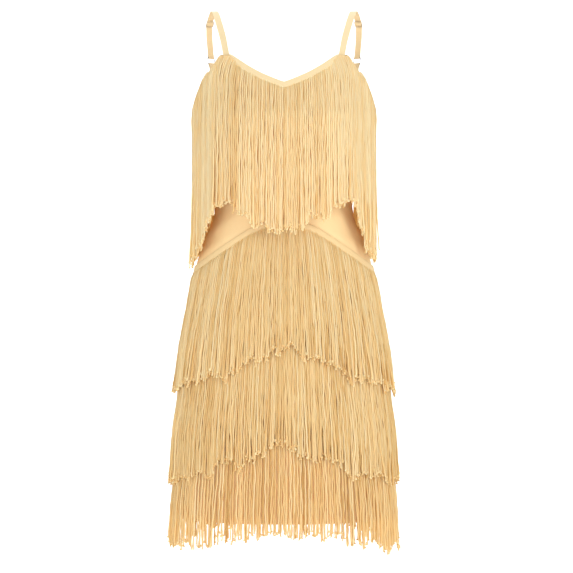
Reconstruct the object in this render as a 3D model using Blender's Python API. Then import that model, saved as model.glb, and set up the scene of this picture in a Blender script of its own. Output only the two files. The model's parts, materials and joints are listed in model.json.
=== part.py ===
"""Fringed strap dress, filled out as if worn: two stretch panels, bound edges, four tiers of fringe.

Metres, +Z up, the front faces -Y. The origin is midway between the undersides of the two strap tops.
Every piece that lies on a panel is made from that panel's own columns, moved out.
"""

import math

import bmesh
import bpy

# ---- driving dimensions ----

SECTION_POWER = 2.2  # of the body's cross-section; 2 would be an ellipse
SEAM_GAP = 0.0003  # between pieces that are sewn together

# height, half width, depth in front, depth behind
BODY_RINGS = (
    (-0.060, 0.1460, 0.083, 0.088),
    (-0.090, 0.1468, 0.090, 0.090),
    (-0.132, 0.1475, 0.105, 0.093),
    (-0.165, 0.1482, 0.120, 0.096),
    (-0.190, 0.1487, 0.127, 0.097),
    (-0.215, 0.1455, 0.124, 0.096),
    (-0.250, 0.1345, 0.110, 0.092),
    (-0.285, 0.1215, 0.097, 0.087),
    (-0.320, 0.1135, 0.090, 0.084),
    (-0.345, 0.1175, 0.089, 0.086),
    (-0.370, 0.1280, 0.091, 0.092),
    (-0.395, 0.1385, 0.094, 0.098),
    (-0.430, 0.1475, 0.098, 0.106),
    (-0.475, 0.1560, 0.103, 0.114),
    (-0.530, 0.1635, 0.107, 0.118),
    (-0.610, 0.1710, 0.110, 0.117),
    (-0.700, 0.1775, 0.111, 0.115),
    (-0.838, 0.1795, 0.112, 0.113),
)
BUST_LEVEL = -0.190

# angle round the body from the centre line, height of the panel's cut edge there
FRONT_EDGE = (
    (0.0, -0.1305),
    (6.5, -0.1255),
    (13.1, -0.1154),
    (22.4, -0.1015),
    (31.9, -0.0876),
    (34.7, -0.0866),
    (41.2, -0.0866),
    (47.9, -0.1000),
    (54.0, -0.1105),
    (60.6, -0.1210),
    (69.3, -0.1400),
    (79.0, -0.1590),
    (90.0, -0.1680),
)
BACK_EDGE = (
    (0.0, -0.1670),
    (10.0, -0.1650),
    (20.0, -0.1600),
    (30.0, -0.1500),
    (39.0, -0.1340),
    (46.0, -0.1130),
    (51.4, -0.0915),
    (60.5, -0.0915),
    (69.3, -0.1150),
    (79.0, -0.1480),
    (90.0, -0.1680),
)
FRONT_STRAP_SEAT = (34.7, 41.2)  # angles between which the front edge carries the strap
BACK_STRAP_SEAT = (51.4, 60.5)

PANEL_WALL = 0.0015

BINDING_LEG = 0.0090
BINDING_INNER_LEG = 0.0060
BINDING_WALL = 0.0012

LAY_ON = 0.0006  # clearance of a piece that lies on a panel
TAPE_WALL = 0.0015
TAPE_WIDTH = 0.0110

# share of the half width, height of the header's top edge
HEADER_2 = ((0.0, -0.348), (0.20, -0.352), (0.40, -0.3615), (0.70, -0.3900), (1.0, -0.4240))
HEADER_3 = ((0.0, -0.505), (0.25, -0.530), (0.55, -0.5490), (0.84, -0.5670), (1.0, -0.5770))
HEADER_4 = ((0.0, -0.655), (0.25, -0.661), (0.55, -0.6720), (1.0, -0.6920))

# share of the half width, height of the fringe's tips
TIPS_1 = (
    (0.0, -0.3792),
    (0.374, -0.3551),
    (0.571, -0.3416),
    (0.70, -0.3280),
    (0.745, -0.3400),
    (0.824, -0.3690),
    (0.89, -0.3930),
    (0.925, -0.4060),
    (1.0, -0.4176),
)
TIPS_2 = ((0.0, -0.549), (0.13, -0.5636), (0.25, -0.572), (0.47, -0.595), (0.76, -0.610), (1.0, -0.625))
TIPS_3 = ((0.0, -0.707), (0.25, -0.7331), (0.405, -0.7433), (0.545, -0.7523), (0.84, -0.770), (1.0, -0.777))
TIPS_4 = ((0.0, -0.8556), (0.25, -0.8594), (0.54, -0.8726), (1.0, -0.8944))

# distance down from the header, clearance from the panel, thickness of the hanging strands
FRINGE_LIFT = (
    (0.000, 0.0006, 0.0015),
    (0.030, 0.0006, 0.0028),
    (0.055, 0.0008, 0.0030),
    (0.130, 0.0055, 0.0030),
    (0.200, 0.0075, 0.0033),
)
FIRST_FRINGE_LIFT = (
    (0.000, 0.0006, 0.0015),
    (0.030, 0.0006, 0.0026),
    (0.100, 0.0006, 0.0030),
    (0.260, 0.0010, 0.0034),
)

STRAP_WIDTH = 0.0110
STRAP_WALL = 0.0008
# x, y, z, turn of the strap's width in degrees; right-hand strap from inside the front edge to the back corner
STRAP_LINE = (
    (0.0932, -0.0731, -0.1010, 25.0),
    (0.0930, -0.0691, -0.0866, 25.0),
    (0.0950, -0.0660, -0.0747, 24.0),
    (0.0994, -0.0560, -0.0528, 20.0),
    (0.1071, -0.0350, -0.0245, 10.0),
    (0.1125, -0.0165, -0.0072, 3.0),
    (0.1165, 0.0020, 0.0004, -4.0),
    (0.1213, 0.0200, -0.0045, -14.0),
    (0.1250, 0.0330, -0.0160, -24.0),
    (0.1264, 0.0425, -0.0330, -30.0),
    (0.1250, 0.0500, -0.0566, -35.0),
    (0.1240, 0.0524, -0.0700, -38.0),
    (0.1232, 0.0518, -0.0803, -40.0),
    (0.1216, 0.0507, -0.0920, -43.0),
    (0.1216, 0.0508, -0.1060, -43.0),
)
SLIDER_AT = 8  # point of the strap line
RING_TOP_AT = 11
RING_BOTTOM_AT = 12

SLIDER_HALF_WIDTH = 0.0068
SLIDER_SIDE_BAR = 0.0010
SLIDER_HALF_HEIGHT = 0.0055
SLIDER_BAR = 0.0012
SLIDER_THICKNESS = 0.0010

RING_WIRE = 0.0016
RING_INNER_WIDTH = 0.0124
RING_CORNER = 0.0012
WRAP_RADIUS = 0.0015  # of a strap's middle line round the ring's wire

# distance past the slider's middle, distance out: the strap as it is threaded over the middle bar
THREADED = (
    (-0.0105, 0.0000),
    (-0.0068, -0.0009),
    (-0.0049, -0.0012),
    (-0.0041, -0.0011),
    (-0.0032, 0.0001),
    (-0.0023, 0.0011),
    (-0.0009, 0.00135),
    (0.0009, 0.00135),
    (0.0023, 0.0011),
    (0.0032, 0.0001),
    (0.0041, -0.0011),
    (0.0049, -0.0012),
    (0.0063, -0.00115),
    (0.0105, 0.00050),
)
# the same for its end, which comes back from the ring and is sewn round the middle bar
SEWN_END = (
    (0.0105, -0.0006),
    (0.0063, -0.00225),
    (0.0049, -0.00230),
    (0.0036, -0.0021),
    (0.0020, -0.00135),
    (0.0000, -0.00115),
    (-0.0009, -0.0011),
    (-0.00125, -0.0004),
    (-0.00125, 0.0003),
)

# ---- materials ----


def material(name, colour, roughness, metallic=0.0, sheen=0.0):
    made = bpy.data.materials.new(name)
    made.use_nodes = True
    shader = made.node_tree.nodes["Principled BSDF"]
    shader.inputs["Base Color"].default_value = (*colour, 1.0)
    shader.inputs["Roughness"].default_value = roughness
    shader.inputs["Metallic"].default_value = metallic
    shader.inputs["Sheen Weight"].default_value = sheen
    made.diffuse_color = (*colour, 1.0)
    return made


# ---- the body's surface ----


def between(table, key, column=1):
    """A table's column at key, in straight steps; the table's first column runs up or down."""
    rows = sorted(table)
    if key <= rows[0][0]:
        return rows[0][column]
    for low, high in zip(rows, rows[1:]):
        if key <= high[0]:
            share = (key - low[0]) / (high[0] - low[0])
            return low[column] + share * (high[column] - low[column])
    return rows[-1][column]


def across(angle):
    """Share of the half width and of the depth at an angle from the centre line."""
    turn = math.radians(min(abs(angle), 90.0))
    wide = math.sin(turn) ** (2 / SECTION_POWER)
    deep = max(math.cos(turn), 0.0) ** (2 / SECTION_POWER)
    return wide, (0.0 if deep < 1e-6 else deep)


def edge_of(front):
    return FRONT_EDGE if front else BACK_EDGE


def cut_height(front, angle):
    return between(edge_of(front), abs(angle))


def column_levels(front, angle):
    """Heights of a panel column's points, from its cut edge to the hem."""
    top = cut_height(front, angle)
    return [top, (top + BUST_LEVEL) / 2] + [ring[0] for ring in BODY_RINGS if ring[0] <= BUST_LEVEL]


def column_size(front, angle, height):
    """Half width and depth of the panel at one column, straight between that column's own points."""
    levels = column_levels(front, angle)
    depth = 2 if front else 3
    height = min(height, levels[0])
    for high, low in zip(levels, levels[1:]):
        if height >= low:
            share = (high - height) / (high - low)
            wide = [between(BODY_RINGS, level) for level in (high, low)]
            deep = [between(BODY_RINGS, level, depth) for level in (high, low)]
            return wide[0] + share * (wide[1] - wide[0]), deep[0] + share * (deep[1] - deep[0])
    return between(BODY_RINGS, levels[-1]), between(BODY_RINGS, levels[-1], depth)


def placed(front, angle, wide, deep, height):
    """A point at an angle on a ring of the given half width and depth; side columns stop at the seam gap."""
    share_wide, share_deep = across(angle)
    y = share_deep * deep
    if abs(angle) > 89.9:
        y = SEAM_GAP / 2
    return (math.copysign(share_wide * wide, angle), -y if front else y, height)


def on_panel(front, angle, height, out):
    wide, deep = column_size(front, angle, height)
    return placed(front, angle, wide + out, deep + out, height)


def both_sides(angles):
    return [-angle for angle in reversed(angles) if angle > 0] + list(angles)


def panel_angles(front):
    return both_sides([row[0] for row in edge_of(front)])


def slope_factor(front, angle):
    """How much longer a cut edge's vertical measure is than its measure square to the edge."""
    step = 2.0
    ends = [min(max(abs(angle) + side * step, 0.0), 90.0) for side in (-1, 1)]
    if abs(angle) < 1e-6:
        ends[0] = 0.0
    points = [on_panel(front, end, cut_height(front, end), 0.0) for end in ends]
    run = math.dist(points[0][:2], points[1][:2])
    return min(math.hypot(1.0, (points[1][2] - points[0][2]) / max(run, 1e-6)), 2.4)


# ---- mesh building ----


def finish(name, corners, faces, surface):
    mesh = bpy.data.meshes.new(name)
    mesh.from_pydata(corners, [], faces)
    shape = bmesh.new()
    shape.from_mesh(mesh)
    bmesh.ops.triangulate(shape, faces=shape.faces[:])
    bmesh.ops.recalc_face_normals(shape, faces=shape.faces[:])
    if shape.calc_volume(signed=True) < 0:
        bmesh.ops.reverse_faces(shape, faces=shape.faces[:])
    shape.to_mesh(mesh)
    shape.free()
    mesh.materials.append(surface)
    made = bpy.data.objects.new(name, mesh)
    bpy.context.scene.collection.objects.link(made)
    return made


def unique(loop):
    kept = []
    for corner in loop:
        if corner not in kept:
            kept.append(corner)
    return kept


def add_quad(faces, loop, turned):
    """A four-cornered patch as two triangles, split the other way on the other side of the body."""
    if turned:
        loop = loop[1:] + loop[:1]
    for three in (loop[:3], [loop[2], loop[3], loop[0]]):
        if len(unique(three)) == 3:
            faces.append(unique(three))


def wall_body(name, angles, columns, surface):
    """A cloth wall. columns holds, for each angle, rows of (height, inner point, outer point), top first.

    Rows of one column at the same height are one row there, so every column may end where it likes.
    """
    corners = []
    inner = []
    outer = []
    for column in columns:
        ins = []
        outs = []
        for number, (height, inside, outside) in enumerate(column):
            if number and abs(height - column[number - 1][0]) < 1e-7:
                ins.append(ins[-1])
                outs.append(outs[-1])
                continue
            ins.append(len(corners))
            outs.append(len(corners) + 1)
            corners.extend((inside, outside))
        inner.append(ins)
        outer.append(outs)
    faces = []
    rows = len(columns[0])
    for j in range(len(columns) - 1):
        turned = angles[j] + angles[j + 1] > 0
        for k in range(rows - 1):
            for skin in (inner, outer):
                loop = [skin[j][k], skin[j + 1][k], skin[j + 1][k + 1], skin[j][k + 1]]
                add_quad(faces, loop, turned)
        for k in (0, rows - 1):
            add_quad(faces, [inner[j][k], inner[j + 1][k], outer[j + 1][k], outer[j][k]], False)
    for j in (0, len(columns) - 1):
        for k in range(rows - 1):
            add_quad(faces, [inner[j][k], inner[j][k + 1], outer[j][k + 1], outer[j][k]], False)
    return finish(name, corners, faces, surface)


def levels_within(front, angle, top, bottom, lowest=-9.0):
    """A column's own heights held between top and bottom, with both ends."""
    margin = 0.003
    levels = []
    for level in column_levels(front, angle)[1:]:
        if level < lowest:
            continue
        if level > top - margin:
            level = top
        if level < bottom + margin:
            level = bottom
        levels.append(level)
    return [top] + levels + [bottom]


def make_panel(name, front, surface):
    angles = panel_angles(front)
    columns = []
    for angle in angles:
        rows = []
        for level in column_levels(front, angle):
            rows.append((level, on_panel(front, angle, level, -PANEL_WALL), on_panel(front, angle, level, 0.0)))
        columns.append(rows)
    return wall_body(name, angles, columns, surface)


def make_tape(name, front, header, surface):
    """The band that a tier's strands are sewn to, along the header line."""
    angles = panel_angles(front)
    columns = []
    for angle in angles:
        share = across(angle)[0]
        top = between(header, share)
        bottom = top - TAPE_WIDTH * header_slope(header, share)
        rows = []
        for level in levels_within(front, angle, top, bottom):
            inside = on_panel(front, angle, level, LAY_ON)
            outside = on_panel(front, angle, level, LAY_ON + TAPE_WALL)
            rows.append((level, inside, outside))
        columns.append(rows)
    return wall_body(name, angles, columns, surface)


def header_slope(header, share):
    """Vertical measure of a band of unit width laid along a header line."""
    step = 0.04
    low = max(share - step, 0.0)
    high = min(share + step, 1.0)
    run = (high - low) * 0.16
    return math.hypot(1.0, (between(header, high) - between(header, low)) / run)


def fringe_start(front, angle, header):
    """Height where the strands come out from under their tape or binding."""
    share = across(angle)[0]
    if header is None:
        return cut_height(front, angle) - (BINDING_LEG + SEAM_GAP) * slope_factor(front, angle)
    return between(header, share) - (TAPE_WIDTH + SEAM_GAP) * header_slope(header, share)


def make_fringe(name, front, header, tips, lift, surface):
    """The strands' reach as one plain wall: it follows the panel out and hangs plumb where the panel goes in."""
    angles = panel_angles(front)
    columns = []
    plumb_from = BUST_LEVEL if header is None else -9.0
    for angle in angles:
        top = fringe_start(front, angle, header)
        bottom = between(tips, across(angle)[0])
        fullest = [0.0, 0.0]
        rows = []
        for level in levels_within(front, angle, top, bottom, plumb_from):
            size = column_size(front, angle, level)
            fullest = [max(old, new) for old, new in zip(fullest, size)]
            clear = between(lift, top - level)
            thick = between(lift, top - level, 2)
            inside = placed(front, angle, fullest[0] + clear, fullest[1] + clear, level)
            reach = clear + thick
            outside = placed(front, angle, fullest[0] + reach, fullest[1] + reach, level)
            rows.append((level, inside, outside))
        columns.append(rows)
    return wall_body(name, angles, columns, surface)


def binding_section(front, angle):
    """A folded strip over a panel's cut edge: outer leg, top and inner leg, as eight points."""
    edge = cut_height(front, angle)
    steep = slope_factor(front, angle)
    outer = LAY_ON + BINDING_WALL
    inner = -PANEL_WALL - LAY_ON
    top = edge + (SEAM_GAP + BINDING_WALL) * steep
    under = edge + SEAM_GAP * steep
    low = edge - BINDING_LEG * steep
    inner_low = edge - BINDING_INNER_LEG * steep
    section = (
        (outer, low),
        (outer, top),
        (inner - BINDING_WALL, top),
        (inner - BINDING_WALL, inner_low),
        (inner, inner_low),
        (inner, under),
        (LAY_ON, under),
        (LAY_ON, low),
    )
    return [on_panel(front, angle, height, out) for out, height in section]


def make_binding(name, stations, surface):
    """A binding through stations of (front, angle)."""
    corners = []
    faces = []
    for front, angle in stations:
        corners.extend(binding_section(front, angle))
    for j in range(len(stations) - 1):
        for k in range(8):
            after = (k + 1) % 8
            here = j * 8
            faces.append([here + k, here + after, here + 8 + after, here + 8 + k])
    for here in (0, (len(stations) - 1) * 8):
        for loop in ((0, 1, 6, 7), (1, 2, 5, 6), (2, 3, 4, 5)):
            faces.append([here + k for k in loop])
    return finish(name, corners, faces, surface)


def neck_stations(front, last):
    angles = [row[0] for row in edge_of(front) if row[0] < last] + [last - 0.15]
    return [(front, angle) for angle in both_sides(angles)]


def armhole_stations(side):
    first = FRONT_STRAP_SEAT[1]
    last = BACK_STRAP_SEAT[1]
    ahead = [first + 0.15] + [row[0] for row in FRONT_EDGE if first < row[0] < 90]
    behind = [row[0] for row in reversed(BACK_EDGE) if last < row[0] < 90] + [last + 0.15]
    stations = [(True, angle) for angle in ahead] + [(True, 90.0)]
    stations += [(False, angle) for angle in behind]
    return [(front, side * angle) for front, angle in stations]


# ---- straps and their fittings ----


def add(first, second, scale=1.0):
    return tuple(a + scale * b for a, b in zip(first, second))


def dot(first, second):
    return sum(a * b for a, b in zip(first, second))


def cross(a, b):
    return (a[1] * b[2] - a[2] * b[1], a[2] * b[0] - a[0] * b[2], a[0] * b[1] - a[1] * b[0])


def unit(vector):
    size = math.sqrt(dot(vector, vector))
    return tuple(part / size for part in vector)


def strap_samples():
    """The strap line as fine steps of (distance, point, turn), and the distance of each of its points."""
    steps = 12
    line = STRAP_LINE
    samples = []
    marks = []
    for k in range(len(line) - 1):
        before = line[max(k - 1, 0)]
        after = line[min(k + 2, len(line) - 1)]
        for step in range(steps):
            t = step / steps
            spot = []
            for p0, p1, p2, p3 in zip(before, line[k], line[k + 1], after):
                bend = 2 * p1 + (p2 - p0) * t + (2 * p0 - 5 * p1 + 4 * p2 - p3) * t * t
                spot.append(0.5 * (bend + (3 * p1 - p0 - 3 * p2 + p3) * t**3))
            samples.append(spot)
    samples.append(list(line[-1]))
    distance = 0.0
    measured = []
    for k, spot in enumerate(samples):
        if k:
            distance += math.dist(spot[:3], samples[k - 1][:3])
        measured.append((distance, tuple(spot[:3]), spot[3]))
    marks = [measured[min(k * steps, len(measured) - 1)][0] for k in range(len(line))]
    measured[-1] = (*measured[-1], marks)
    return measured, marks


def strap_frame(samples, distance):
    """Point, direction, width direction and outward direction at a distance along the strap line.

    The line is straight where it runs through the slider and through the ring.
    """
    marks = samples[-1][3]
    slider = marks[SLIDER_AT]
    ring = (marks[RING_TOP_AT] + marks[RING_BOTTOM_AT]) / 2
    ring_reach = (marks[RING_BOTTOM_AT] - marks[RING_TOP_AT]) / 2 + 0.0026
    for middle, reach in ((slider, 0.0072), (ring, ring_reach)):
        if abs(distance - middle) <= reach:
            point, along, width, outward = free_frame(samples, middle)
            return add(point, along, distance - middle), along, width, outward
    return free_frame(samples, distance)


def free_frame(samples, distance):
    """The same on the curved line itself."""
    k = 0
    while k < len(samples) - 2 and samples[k + 1][0] < distance:
        k += 1
    here, after = samples[k], samples[k + 1]
    share = (distance - here[0]) / (after[0] - here[0])
    point = tuple(a + share * (b - a) for a, b in zip(here[1], after[1]))
    low = max(k - 3, 0)
    high = min(k + 4, len(samples) - 1)
    along = unit(add(samples[high][1], samples[low][1], -1.0))
    turn = math.radians(here[2] + share * (after[2] - here[2]))
    level = (math.cos(turn), math.sin(turn), 0.0)
    width = unit(add(level, along, -dot(level, along)))
    return point, along, width, cross(along, width)


def make_strip(name, samples, path, side, surface):
    """A strap of even width through (distance, out) points; side is 1 on +X and -1 on -X."""
    corners = []
    faces = []
    for k, (distance, out) in enumerate(path):
        before = path[max(k - 1, 0)]
        after = path[min(k + 1, len(path) - 1)]
        run = (after[0] - before[0], after[1] - before[1])
        size = math.hypot(*run)
        square = (-run[1] / size, run[0] / size)
        for face in (1, -1):
            there = distance + face * square[0] * STRAP_WALL / 2
            point, _, width, outward = strap_frame(samples, there)
            middle = add(point, outward, out + face * square[1] * STRAP_WALL / 2)
            for edge in (face, -face):
                x, y, z = add(middle, width, edge * STRAP_WIDTH / 2)
                corners.append((side * x, y, z))
    for k in range(len(path) - 1):
        for c in range(4):
            here = 4 * k + c
            after = 4 * k + (c + 1) % 4
            faces.append([here, after, after + 4, here + 4])
    faces.append([0, 1, 2, 3])
    faces.append([4 * (len(path) - 1) + c for c in range(4)])
    return finish(name, corners, faces, surface)


def strap_path(marks):
    """From inside the front edge, over the shoulder, through the slider, round the ring and back."""
    slider = marks[SLIDER_AT]
    ring = marks[RING_TOP_AT]
    path = [(0.0, 0.0)]
    for k in range(1, SLIDER_AT):
        if k > 1:
            path.append(((marks[k - 1] + marks[k]) / 2, 0.0))
        path.append((marks[k], 0.0))
    path = [spot for spot in path if spot[0] < slider - 0.013]
    path += [(slider + down, out) for down, out in THREADED]
    path += [(slider + 0.022, 0.00052), (slider + 0.034, 0.00052), (ring - 0.006, 0.00052), (ring - 0.0022, 0.0013)]
    for turn in (90, 45, 0, -45, -90):
        angle = math.radians(turn)
        path.append((ring + WRAP_RADIUS * math.cos(angle), WRAP_RADIUS * math.sin(angle)))
    path += [(ring - 0.0022, -0.0013), (ring - 0.006, -0.00058), (slider + 0.034, -0.00058), (slider + 0.022, -0.00058)]
    path += [(slider + down, out) for down, out in SEWN_END]
    return path


def tab_path(marks):
    """A short strip folded through the ring's lower bar, both ends inside the back corner."""
    ring = marks[RING_BOTTOM_AT]
    end = marks[-1] - 0.0004
    path = [(end, 0.00055), (ring + 0.0085, 0.00055), (ring + 0.0062, 0.00055), (ring + 0.0022, 0.0013)]
    for turn in (90, 45, 0, -45, -90):
        angle = math.radians(turn)
        path.append((ring - WRAP_RADIUS * math.cos(angle), WRAP_RADIUS * math.sin(angle)))
    path += [(ring + 0.0022, -0.0013), (ring + 0.0062, -0.00055), (ring + 0.0085, -0.00055), (end, -0.00055)]
    return path


def make_ring(name, samples, marks, side, surface):
    """A rounded four-sided wire ring between the strap and its tab."""
    top, bottom = marks[RING_TOP_AT], marks[RING_BOTTOM_AT]
    centre, along, width, outward = strap_frame(samples, (top + bottom) / 2)
    half_high = (bottom - top) / 2
    half_wide = (RING_INNER_WIDTH + RING_WIRE) / 2
    spots = []
    for quarter in range(4):
        signs = ((1, 1), (-1, 1), (-1, -1), (1, -1))[quarter]
        for part in range(3):
            angle = math.radians(quarter * 90 + part * 45)
            x = signs[0] * (half_wide - RING_CORNER) + RING_CORNER * math.cos(angle)
            y = signs[1] * (half_high - RING_CORNER) + RING_CORNER * math.sin(angle)
            spots.append((x, y, math.cos(angle), math.sin(angle)))
    corners = []
    for x, y, away_x, away_y in spots:
        for k in range(6):
            turn = math.radians(60 * k)
            reach = RING_WIRE / 2 * math.cos(turn)
            point = add(add(centre, width, x + reach * away_x), along, y + reach * away_y)
            px, py, pz = add(point, outward, RING_WIRE / 2 * math.sin(turn))
            corners.append((side * px, py, pz))
    faces = []
    for j in range(len(spots)):
        after = (j + 1) % len(spots)
        for k in range(6):
            beside = (k + 1) % 6
            faces.append([6 * j + k, 6 * j + beside, 6 * after + beside, 6 * after + k])
    return finish(name, corners, faces, surface)


def make_slider(name, samples, marks, side, surface):
    """A flat frame with a middle bar, threaded on the strap."""
    centre, along, width, outward = strap_frame(samples, marks[SLIDER_AT])
    wide, high, bar = SLIDER_HALF_WIDTH, SLIDER_HALF_HEIGHT, SLIDER_BAR
    across_cuts = (-wide, -wide + SLIDER_SIDE_BAR, wide - SLIDER_SIDE_BAR, wide)
    along_cuts = (-high, -high + bar, -bar / 2, bar / 2, high - bar, high)
    corners = []
    for face in (-1, 1):
        for cut in along_cuts:
            for place in across_cuts:
                at_corner = abs(cut) > high - 1e-6 and abs(place) > wide - 1e-6
                pull = 1 - 0.09 * at_corner
                point = add(add(centre, width, place * pull), along, cut * pull)
                x, y, z = add(point, outward, face * SLIDER_THICKNESS / 2)
                corners.append((side * x, y, z))
    columns = len(across_cuts)
    layer = columns * len(along_cuts)
    solid = {(r, c) for r in range(5) for c in range(3) if not (c == 1 and r in (1, 3))}
    faces = []
    for r, c in sorted(solid):
        loop = [r * columns + c, r * columns + c + 1, (r + 1) * columns + c + 1, (r + 1) * columns + c]
        faces.append(loop)
        faces.append([k + layer for k in loop])
        beside = ((r - 1, c), (r, c + 1), (r + 1, c), (r, c - 1))
        for k, cell in enumerate(beside):
            if cell not in solid:
                first, second = loop[k], loop[(k + 1) % 4]
                faces.append([first, second, second + layer, first + layer])
    return finish(name, corners, faces, surface)


# ---- the dress ----

for old in list(bpy.data.objects):
    bpy.data.objects.remove(old, do_unlink=True)

jersey = material("stretch_jersey", (0.84, 0.63, 0.36), 0.62, sheen=0.2)
binding = material("binding_jersey", (0.94, 0.76, 0.45), 0.6, sheen=0.2)
rayon = material("fringe_rayon", (0.88, 0.66, 0.35), 0.45, sheen=0.3)
braid = material("header_tape", (0.90, 0.71, 0.40), 0.6, sheen=0.2)
satin = material("strap_satin", (0.90, 0.71, 0.42), 0.5, sheen=0.2)
ring_metal = material("ring_metal", (0.86, 0.86, 0.88), 0.15, metallic=1.0)
slider_metal = material("slider_metal", (0.72, 0.70, 0.70), 0.25, metallic=1.0)

make_panel("front_panel", True, jersey)
make_panel("back_panel", False, jersey)

make_binding("front_neck_binding", neck_stations(True, FRONT_STRAP_SEAT[0]), binding)
make_binding("back_neck_binding", neck_stations(False, BACK_STRAP_SEAT[0]), binding)
make_binding("armhole_binding_left", armhole_stations(-1), binding)
make_binding("armhole_binding_right", armhole_stations(1), binding)

for facing, is_front in (("front", True), ("back", False)):
    make_fringe("fringe_1_" + facing, is_front, None, TIPS_1, FIRST_FRINGE_LIFT, rayon)
    for tier, header, tips in ((2, HEADER_2, TIPS_2), (3, HEADER_3, TIPS_3), (4, HEADER_4, TIPS_4)):
        make_tape("tape_%d_%s" % (tier, facing), is_front, header, braid)
        make_fringe("fringe_%d_%s" % (tier, facing), is_front, header, tips, FRINGE_LIFT, rayon)

strap_line, strap_marks = strap_samples()
for hand, side in (("left", -1), ("right", 1)):
    make_strip("strap_" + hand, strap_line, strap_path(strap_marks), side, satin)
    make_strip("ring_tab_" + hand, strap_line, tab_path(strap_marks), side, satin)
    make_ring("ring_" + hand, strap_line, strap_marks, side, ring_metal)
    make_slider("slider_" + hand, strap_line, strap_marks, side, slider_metal)
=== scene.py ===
import json
import math

import bmesh
import bpy
import numpy as np
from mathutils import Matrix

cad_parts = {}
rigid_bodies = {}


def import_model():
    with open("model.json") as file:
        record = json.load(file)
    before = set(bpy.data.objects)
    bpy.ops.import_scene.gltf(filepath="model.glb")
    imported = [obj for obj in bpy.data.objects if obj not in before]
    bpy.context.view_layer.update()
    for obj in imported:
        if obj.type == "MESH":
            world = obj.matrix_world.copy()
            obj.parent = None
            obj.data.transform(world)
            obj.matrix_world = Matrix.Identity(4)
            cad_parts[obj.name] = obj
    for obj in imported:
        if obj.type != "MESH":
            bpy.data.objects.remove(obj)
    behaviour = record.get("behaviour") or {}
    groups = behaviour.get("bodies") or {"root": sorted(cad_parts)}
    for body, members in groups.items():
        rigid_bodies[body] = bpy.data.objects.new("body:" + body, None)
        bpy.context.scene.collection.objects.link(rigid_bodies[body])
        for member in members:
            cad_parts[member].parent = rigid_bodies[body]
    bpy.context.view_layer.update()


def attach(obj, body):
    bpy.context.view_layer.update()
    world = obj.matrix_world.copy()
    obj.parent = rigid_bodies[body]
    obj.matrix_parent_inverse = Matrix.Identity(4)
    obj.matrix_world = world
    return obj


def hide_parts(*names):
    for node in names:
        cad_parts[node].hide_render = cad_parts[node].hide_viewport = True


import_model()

# ------------------------------------------------------------------------------
# Camera, light and backdrop: the dress hangs as if worn, seen level from in front, in a bright white studio
# sweep. A soft key light comes from the right, with a broad low one from the front and a weaker low one
# from the left.
camera_data = bpy.data.cameras.new("studio_camera")
camera_data.lens = 101.94
camera_data.sensor_width = 36.0
camera_data.clip_end = 50.0
camera = bpy.data.objects.new("studio_camera", camera_data)
camera.location = (0.004, -2.7, -0.4576)
camera.rotation_euler = (math.radians(90), 0, 0)
bpy.context.scene.collection.objects.link(camera)
bpy.context.scene.camera = camera
bpy.context.scene.view_settings.view_transform = "Standard"

studio = bpy.data.worlds.new("studio_air")
studio.use_nodes = True
studio.node_tree.nodes["Background"].inputs["Color"].default_value = (1.0, 1.0, 1.0, 1.0)
studio.node_tree.nodes["Background"].inputs["Strength"].default_value = 0.86
bpy.context.scene.world = studio


def soft_light(name, place, target, size, watts):
    lamp = bpy.data.lights.new(name, "AREA")
    lamp.shape = "RECTANGLE"
    lamp.size, lamp.size_y = size
    lamp.energy = watts
    holder = bpy.data.objects.new(name, lamp)
    holder.location = place
    aim = np.array(target) - np.array(place)
    holder.rotation_euler = (
        math.acos(-aim[2] / np.linalg.norm(aim)),
        0.0,
        math.atan2(aim[1], aim[0]) - math.radians(90),
    )
    bpy.context.scene.collection.objects.link(holder)


soft_light("key_light", (1.5, -2.55, 0.15), (0.0, 0.0, -0.4), (0.9, 1.1), 23.0)
soft_light("left_light", (-1.4, -2.55, -0.95), (0.0, 0.0, -0.4), (0.9, 0.9), 12.0)
soft_light("front_light", (0.15, -3.0, -0.80), (0.0, 0.0, -0.35), (1.3, 1.1), 22.5)
soft_light("sweep_light", (0.0, 1.0, 1.9), (0.0, 3.4, -0.6), (4.0, 1.2), 120.0)
bpy.context.scene.cycles.max_bounces = 24
bpy.context.scene.cycles.diffuse_bounces = 16
bpy.context.scene.cycles.transmission_bounces = 16

white = bpy.data.materials.new("studio_white")
white.use_nodes = True
white.node_tree.nodes["Principled BSDF"].inputs["Base Color"].default_value = (0.93, 0.93, 0.93, 1.0)
white.node_tree.nodes["Principled BSDF"].inputs["Roughness"].default_value = 0.9

FLOOR_HEIGHT = -1.45
sweep_profile = [(-4.0, FLOOR_HEIGHT), (2.2, FLOOR_HEIGHT)]
for step in range(1, 13):
    bend = math.radians(step * 7.5)
    sweep_profile.append((2.2 + 1.6 * math.sin(bend), FLOOR_HEIGHT + 1.6 * (1 - math.cos(bend))))
sweep_profile.append((3.8, 3.2))
sweep_corners = [(x, y, z) for y, z in sweep_profile for x in (-6.0, 6.0)]
sweep_faces = [(2 * k, 2 * k + 1, 2 * k + 3, 2 * k + 2) for k in range(len(sweep_profile) - 1)]
sweep_mesh = bpy.data.meshes.new("studio_sweep")
sweep_mesh.from_pydata(sweep_corners, [], sweep_faces)
sweep_mesh.shade_smooth()
sweep_mesh.materials.append(white)
sweep = bpy.data.objects.new("studio_sweep", sweep_mesh)
bpy.context.scene.collection.objects.link(sweep)

# ------------------------------------------------------------------------------
# Front and back panels: fine stretch jersey, cut whole from neck to hem, joined at the sides. Each is a
# thin shell over the worn form, with soft drag lines at the waist and a turned hem. Only the waist shows
# between the fringes.
FORM_POWER = 2.2
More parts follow.
